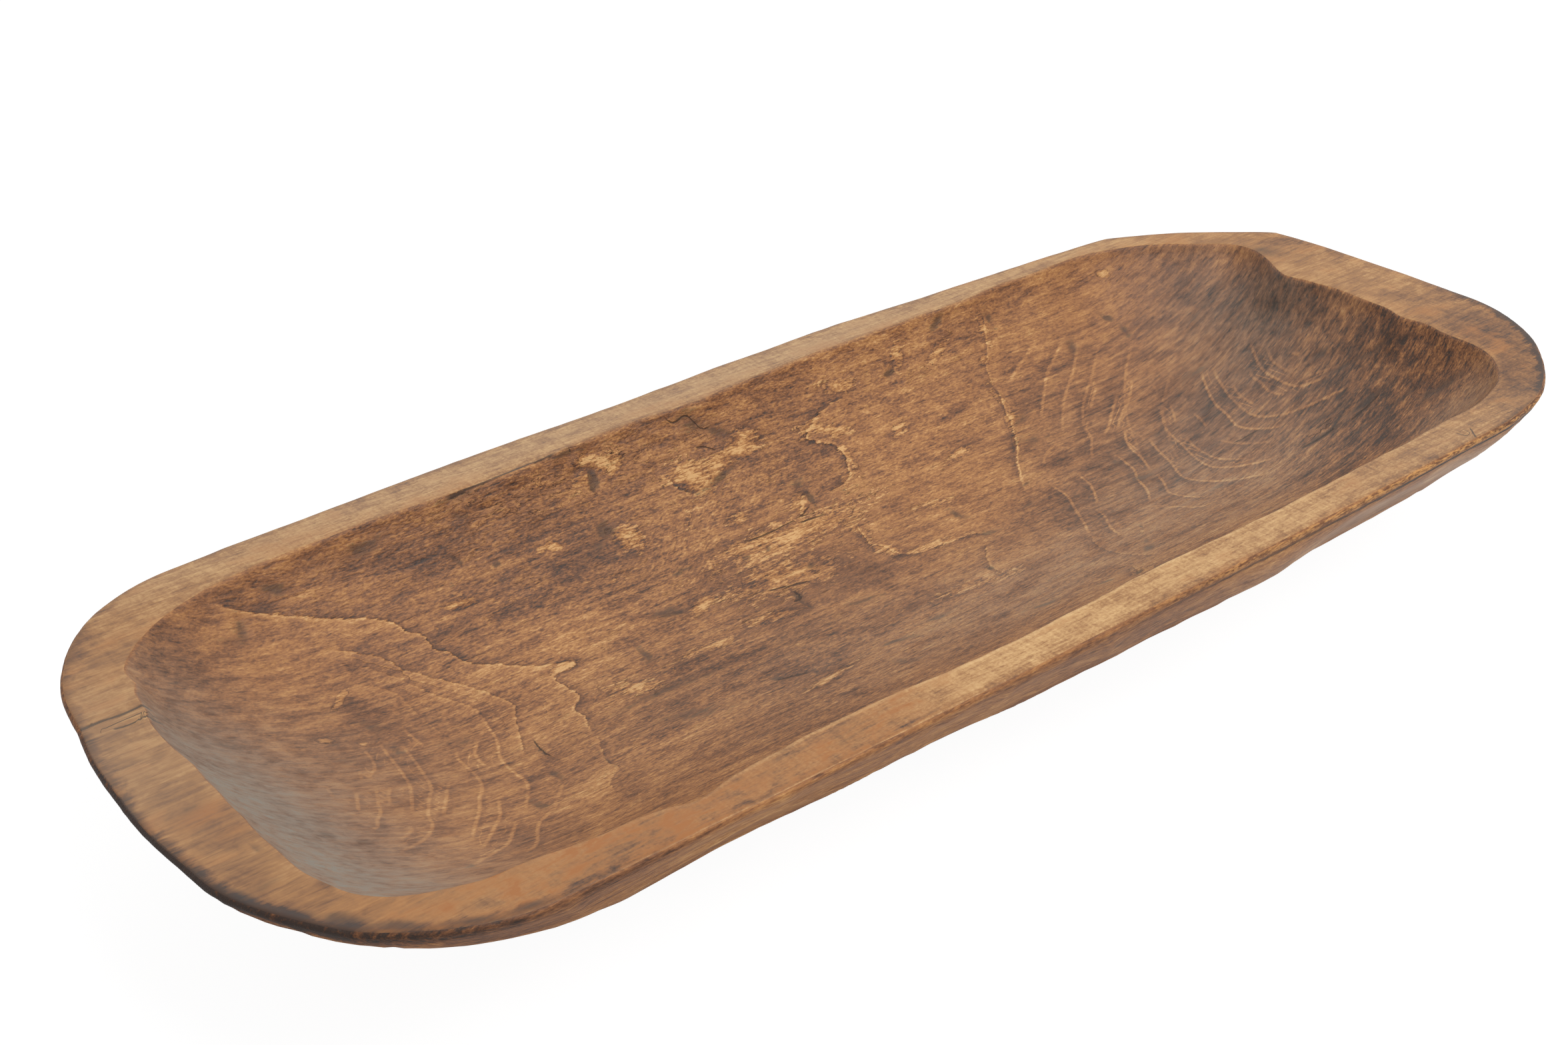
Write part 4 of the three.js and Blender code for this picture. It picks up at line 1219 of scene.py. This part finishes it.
# %% The hollow's material
def stained_hollow(tree):
    """Hewn, stained wood with rings, shores, cracks and patches."""
    fine = mark(tree, "fine")
    streaky = mark(tree, "streaky")
    dashes = grain(tree, (1.5, 0.42, 0.7), 1, 2, 0.6) * fine
    flecks = grain(tree, (4.0, 0.9, 1.5), 2, 3, 0.65) * fine
    fibres = grain(tree, (15, 1.2, 3), 3, 3, 0.6)
    strands = grain(tree, (8, 0.6, 1.8), 10, 2, 0.5).step(0.15, 1.1) * streaky
    lengths = grain(tree, (34, 1.6, 5), 18, 3, 0.6) * streaky
    streaks = grain(tree, (55, 4, 4), 4, 2)
    mottle = grain(tree, (8, 3.6, 3.6), 5, 4, 0.65, 0.5)
    stains = grain(tree, (24, 11, 11), 6, 3, 0.6, 0.6)
    clouds = grain(tree, (60, 30, 30), 7, 2)
    pits = grain(tree, (1.7, 0.8, 0.8), 9, 2, 0.6).step(0.35, 1.25) * fine
    scratches = grain(tree, (7, 0.7, 0.7), 11, 2, 0.5, 0.3, turn=34) * mark(tree, "scratched")
    teeth = 0.7 * fibres + 0.5 * flecks
    line = mark(tree, "ring") + 0.22 * fibres + 0.2 * flecks
    ring_light = line.step(-0.85, -0.15) * line.step(0.85, 0.15)
    ring_light = ring_light * mark(tree, "ring_weight") * (1 + 0.5 * flecks)
    ring_lee = mark(tree, "ring_lee")
    shore = mark(tree, "shore") + 0.8 * teeth
    near = mark(tree, "shore_near")
    weight = mark(tree, "shore_weight")
    shore_line = shore.step(-0.1, 0.2) * shore.step(1.3, 0.3) * near
    shore_glow = shore.step(0.0, 0.5) * shore.step(8.0, 0.5) * weight
    shore_lee = shore.step(-4.5, -0.2) * shore.step(0.2, -0.1) * weight
    shore_cut = shore.step(-0.75, -0.25) * shore.step(0.1, -0.2) * near * flecks.step(-0.6, 0.3)
    pale = mark(tree, "pale") + 0.3 * mottle + 0.3 * flecks + 0.2 * dashes + 0.2 * fibres
    bare = pale.step(-0.08, 0.35)
    bare_middle = pale.step(0.25, 1.2)
    bare_edge = pale.step(-0.28, -0.18) * pale.step(-0.04, -0.12)
    tone = (
        0.53 + 0.27 * dashes + 0.13 * flecks + 0.14 * streaky * fibres
        + 0.06 * streaks + 0.15 * mottle + 0.15 * stains + 0.07 * clouds
        - 0.24 * pits - 0.2 * strands + 0.11 * lengths + 0.2 * scratches + mark(tree, "tone")
        + 0.28 * ring_light - 0.2 * ring_lee
        + 0.2 * shore_line + 0.08 * shore_glow - 0.13 * shore_lee - 0.16 * shore_cut
        + bare * (0.17 + 0.16 * fibres - 0.24 * strands) + 0.36 * bare_middle - 0.14 * bare_edge
    )
    wood = shades(tree, tone, STAIN_STOPS)
    dark = (mark(tree, "dark") + 0.4 * mottle + 0.5 * flecks + 0.25 * dashes + 0.3 * fibres).step(0.05, 0.75)
    wood = blend(tree, dark * 0.72, wood, SOOT)
    squiggle = grain(tree, (11, 3.0, 3.0), 8, 3, 0.6, 1.2)
    tears = squiggle.step(-0.06, -0.01) * squiggle.step(0.06, 0.01)
    hairy = mark(tree, "torn") + 0.7 * pale.step(-0.5, -0.1) * pale.step(0.4, 0.0)
    hairy = hairy + 0.45 * fine * stains.step(0.0, 0.5)
    hairs = tears * hairy * (mottle + 0.4).step(0.0, 0.5)
    wood = blend(tree, hairs * 0.75, wood, SOOT)
    crack = mark(tree, "crack") + 0.8 * flecks + 0.5 * dashes
    crack_open = crack.step(-1.5, -0.5) * crack.step(1.5, 0.5)
    crack_open = crack_open * mark(tree, "crack_weight").step(0.05, 0.4)
    wood = blend(tree, crack_open * 0.85, wood, SOOT)
    # Grey painted over the stain: partly wax bloom, partly painted sheen
    bloom_and_sheen_share = mark(tree, "bloom") * (0.95 + 0.3 * mottle + 0.35 * fibres + 0.3 * stains)
    wood = blend(tree, bloom_and_sheen_share, wood, BLOOM_SHEEN_GREY)
    roughness = 0.55 + 0.05 * mottle + 0.14 * bare + 0.2 * crack_open
    relief = (
        0.5 + 0.14 * dashes + 0.16 * flecks + 0.12 * fibres + 0.12 * mottle - 0.14 * pits - 0.12 * strands
        + 0.14 * ring_light + 0.3 * shore_line - 0.3 * shore_cut - 0.5 * crack_open - 0.4 * hairs
        + 0.2 * scratches
    )
    return wood, roughness, relief, HOLLOW_RELIEF


# %% [markdown]
# ## The sawn rim
# The saw left the rim level and fine, and the stain on it was rubbed thin, so it is the lightest wood on
# the bowl. Years of hands have darkened its outer edge.

# %% The rim's material
RIM_STOPS = [
    (0.0, rgb(62, 44, 34)),
    (0.25, rgb(114, 78, 50)),
    (0.5, rgb(150, 108, 67)),
    (0.72, SAWN),
    (1.0, rgb(206, 169, 119)),
]


def sawn_rim(tree):
    """Level sawn wood, rubbed pale, with a dark worn outer edge."""
    fine = mark(tree, "fine")
    specks = grain(tree, (1.0, 0.6, 0.6), 11, 2) * fine
    flecks = grain(tree, (4, 1.0, 1.0), 12, 3, 0.6) * fine
    streaks = grain(tree, (24, 1.4, 1.4), 13, 3, 0.6)
    saw = grain(tree, (1.2, 9, 9), 14, 2) * fine
    mottle = grain(tree, (9, 6, 6), 16, 4, 0.6, 0.5)
    clouds = grain(tree, (44, 14, 14), 15, 3, 0.6, 0.4)
    across = mark(tree, "rim_share")
    edge = across + 0.04 * streaks + 0.1 * mottle + 0.03 * flecks
    worn = edge.step(0.22, 0.0)
    strands = grain(tree, (7, 0.7, 0.7), 17, 2, 0.5).step(0.15, 1.1)
    # A painted highlight on the mouth's rounded lip
    lip = across.step(0.9, 0.97) * mark(tree, "lip")
    tone = (
        0.59 + 0.14 * specks + 0.13 * flecks + 0.13 * streaks + 0.09 * saw + 0.19 * mottle
        + 0.1 * clouds + mark(tree, "tone") - 0.16 * strands + 0.16 * lip - mark(tree, "wear") * worn
    )
    wood = shades(tree, tone, RIM_STOPS)
    warmth = mark(tree, "warm") * (0.9 + 1.3 * mottle + 0.9 * flecks + 0.6 * streaks)
    wood = blend(tree, (mottle + 1.2 * clouds).step(0.1, 1.3) * 0.5 + warmth, wood, AMBER)
    dark = (mark(tree, "dark") + 0.6 * mottle + 0.2 * flecks).step(-0.05, 0.95)
    wood = blend(tree, dark * 0.74, wood, INK)
    crack = mark(tree, "crack") + 0.4 * flecks
    crack_open = crack.step(-1.4, -0.5) * crack.step(1.4, 0.5)
    crack_open = crack_open * mark(tree, "crack_weight").step(0.05, 0.4)
    wood = blend(tree, crack_open * 0.85, wood, SOOT)
    # Painted sheen: grey laid over the rim's stain
    wood = blend(tree, mark(tree, "bloom"), wood, BLOOM_SHEEN_GREY)
    relief = 0.5 + 0.1 * specks + 0.12 * flecks + 0.14 * streaks + 0.08 * saw - 0.4 * crack_open
    roughness = 0.55 + 0.04 * streaks
    return wood, roughness, relief, RIM_RELIEF


# %% [markdown]
# ## The hewn outside
# The outside was never smoothed. It is darker, and the ridges between the adze cuts are rubbed pale.

# %% The outside's material
def hewn_outside(tree):
    """Rough dark wood with rubbed ridges, and a worn seam just below the rim."""
    dashes = grain(tree, (1.8, 0.5, 0.5), 21, 2, 0.6)
    flecks = grain(tree, (5, 1.0, 1.0), 22, 3, 0.6)
    fibres = grain(tree, (26, 1.3, 1.3), 23, 3, 0.6)
    mottle = grain(tree, (18, 6, 6), 24, 4, 0.6, 0.4)
    clouds = grain(tree, (60, 20, 20), 25, 2)
    below = mark(tree, "below_rim") + 0.35 * flecks + 0.3 * mottle
    ridges = (mark(tree, "facets") + 0.1 * mottle).step(0.7, 1.0)
    seam = below.step(6.5, 2.5) * mark(tree, "wear")
    gilt = below.step(0.3, 0.6) * below.step(3.0, 2.2) * mark(tree, "gilt")
    split = below.step(2.8, 3.2) * below.step(4.4, 3.9) * mark(tree, "gilt")
    split = split * (mottle + 0.5 * fibres).step(-0.9, -0.2)
    tone = (
        0.52 + 0.16 * dashes + 0.18 * flecks + 0.18 * fibres + 0.14 * mottle + 0.12 * clouds + 0.1 * ridges
        - 0.7 * seam + mark(tree, "tone")
    )
    wood = shades(tree, tone, STAIN_STOPS)
    golden = (flecks + 0.8 * dashes + 0.5 * mottle).step(-0.5, 0.5)
    wood = blend(tree, gilt * 0.6, wood, blend(tree, golden, UMBER, GOLD))
    wood = blend(tree, split, wood, INK)
    # Painted sheen: a grey-white reflection laid over the outside wall
    wood = blend(tree, mark(tree, "bloom") * (0.8 + 0.4 * mottle + 0.3 * fibres), wood, WALL_SHEEN_GREY)
    relief = 0.5 + 0.12 * dashes + 0.2 * flecks + 0.25 * fibres + 0.15 * mottle - 0.4 * split
    roughness = 0.6 + 0.08 * mottle
    return wood, roughness, relief, WALL_RELIEF


# %% Put the materials on
for material in (
    surface_material("stained_hollow", stained_hollow),
    surface_material("sawn_rim", sawn_rim),
    surface_material("hewn_outside", hewn_outside),
):
    bowl_mesh.materials.append(material)

# %% [markdown]
# ## Floor, light and surroundings
# The photograph's background is plain white. The floor takes a soft shadow, and is lifted to white for
# the camera alone, so no more light falls on the wood than a white room would give.

# %% The floor
FLOOR_SIZE = 6.0
FLOOR_DROP = 0.0002
FLOOR_GREY, LIFTED_GREY, LIFTED_GLOW = 0.8, 0.12, 0.95


def grey(value):
    """A grey in the linear numbers that a material takes, from 0 for black to 1 for white."""
    return (value, value, value, 1)


floor_mesh = bpy.data.meshes.new("studio_floor")
half = FLOOR_SIZE / 2
corners = [(-half, -half, 0), (half, -half, 0), (half, half, 0), (-half, half, 0)]
floor_mesh.from_pydata(corners, [], [(0, 1, 2, 3)])
studio_floor = bpy.data.objects.new("studio_floor", floor_mesh)
bpy.context.collection.objects.link(studio_floor)
studio_floor.location.z = -FLOOR_DROP
floor_paint = bpy.data.materials.new("studio_floor")
floor_paint.use_nodes = True
tree = floor_paint.node_tree
tree.nodes.clear()
seen = Wire.node(tree, "ShaderNodeLightPath", output="Is Camera Ray")
matt = Wire.node(tree, "ShaderNodeBsdfDiffuse", {}, {"Color": grey(FLOOR_GREY)})
faint = Wire.node(tree, "ShaderNodeBsdfDiffuse", {}, {"Color": grey(LIFTED_GREY)})
glow = Wire.node(tree, "ShaderNodeEmission", {}, {"Color": grey(1), "Strength": LIFTED_GLOW})
lifted = Wire.node(tree, "ShaderNodeAddShader", {}, {0: faint, 1: glow})
both = Wire.node(tree, "ShaderNodeMixShader", {}, {0: seen, 1: matt, 2: lifted})
Wire.node(tree, "ShaderNodeOutputMaterial", {"target": "ALL"}, {"Surface": both})
floor_mesh.materials.append(floor_paint)
print("floor", FLOOR_SIZE, "m square")

# %% The surroundings
ROOM_LIGHT = 0.42
WHITE_PATHS = ("Is Camera Ray", "Is Glossy Ray", "Is Transmission Ray")
room = bpy.data.worlds.new("white_room")
bpy.context.scene.world = room
room.use_nodes = True
tree = room.node_tree
tree.nodes.clear()
paths = [Wire.node(tree, "ShaderNodeLightPath", output=name) for name in WHITE_PATHS]
white = (paths[0] + paths[1] + paths[2]).step(0.0, 1.0)
strength = ROOM_LIGHT + (1 - ROOM_LIGHT) * white
air = Wire.node(tree, "ShaderNodeBackground", {}, {"Color": grey(1), "Strength": strength})
Wire.node(tree, "ShaderNodeOutputWorld", {"target": "ALL"}, {"Surface": air})
print("room light", ROOM_LIGHT)


# %% The lamps
LAMP_TARGET = Vector((0, 0, 0.03))
# Each has a name, its place and size in metres, and its power in watts
LAMPS = (
    ("high_lamp", (0.35, -0.75, 1.5), 1.3, 27),
    ("back_lamp", (0.5, 1.1, 1.3), 1.0, 5),
)


def soft_lamp(name, place, size, power):
    """A square soft box that faces the bowl."""
    lamp = bpy.data.lights.new(name, "AREA")
    lamp.shape = "SQUARE"
    lamp.size = size
    lamp.energy = power
    holder = bpy.data.objects.new(name, lamp)
    bpy.context.collection.objects.link(holder)
    holder.location = place
    holder.rotation_euler = (LAMP_TARGET - Vector(place)).to_track_quat("-Z", "Y").to_euler()


for lamp_setting in LAMPS:
    soft_lamp(*lamp_setting)
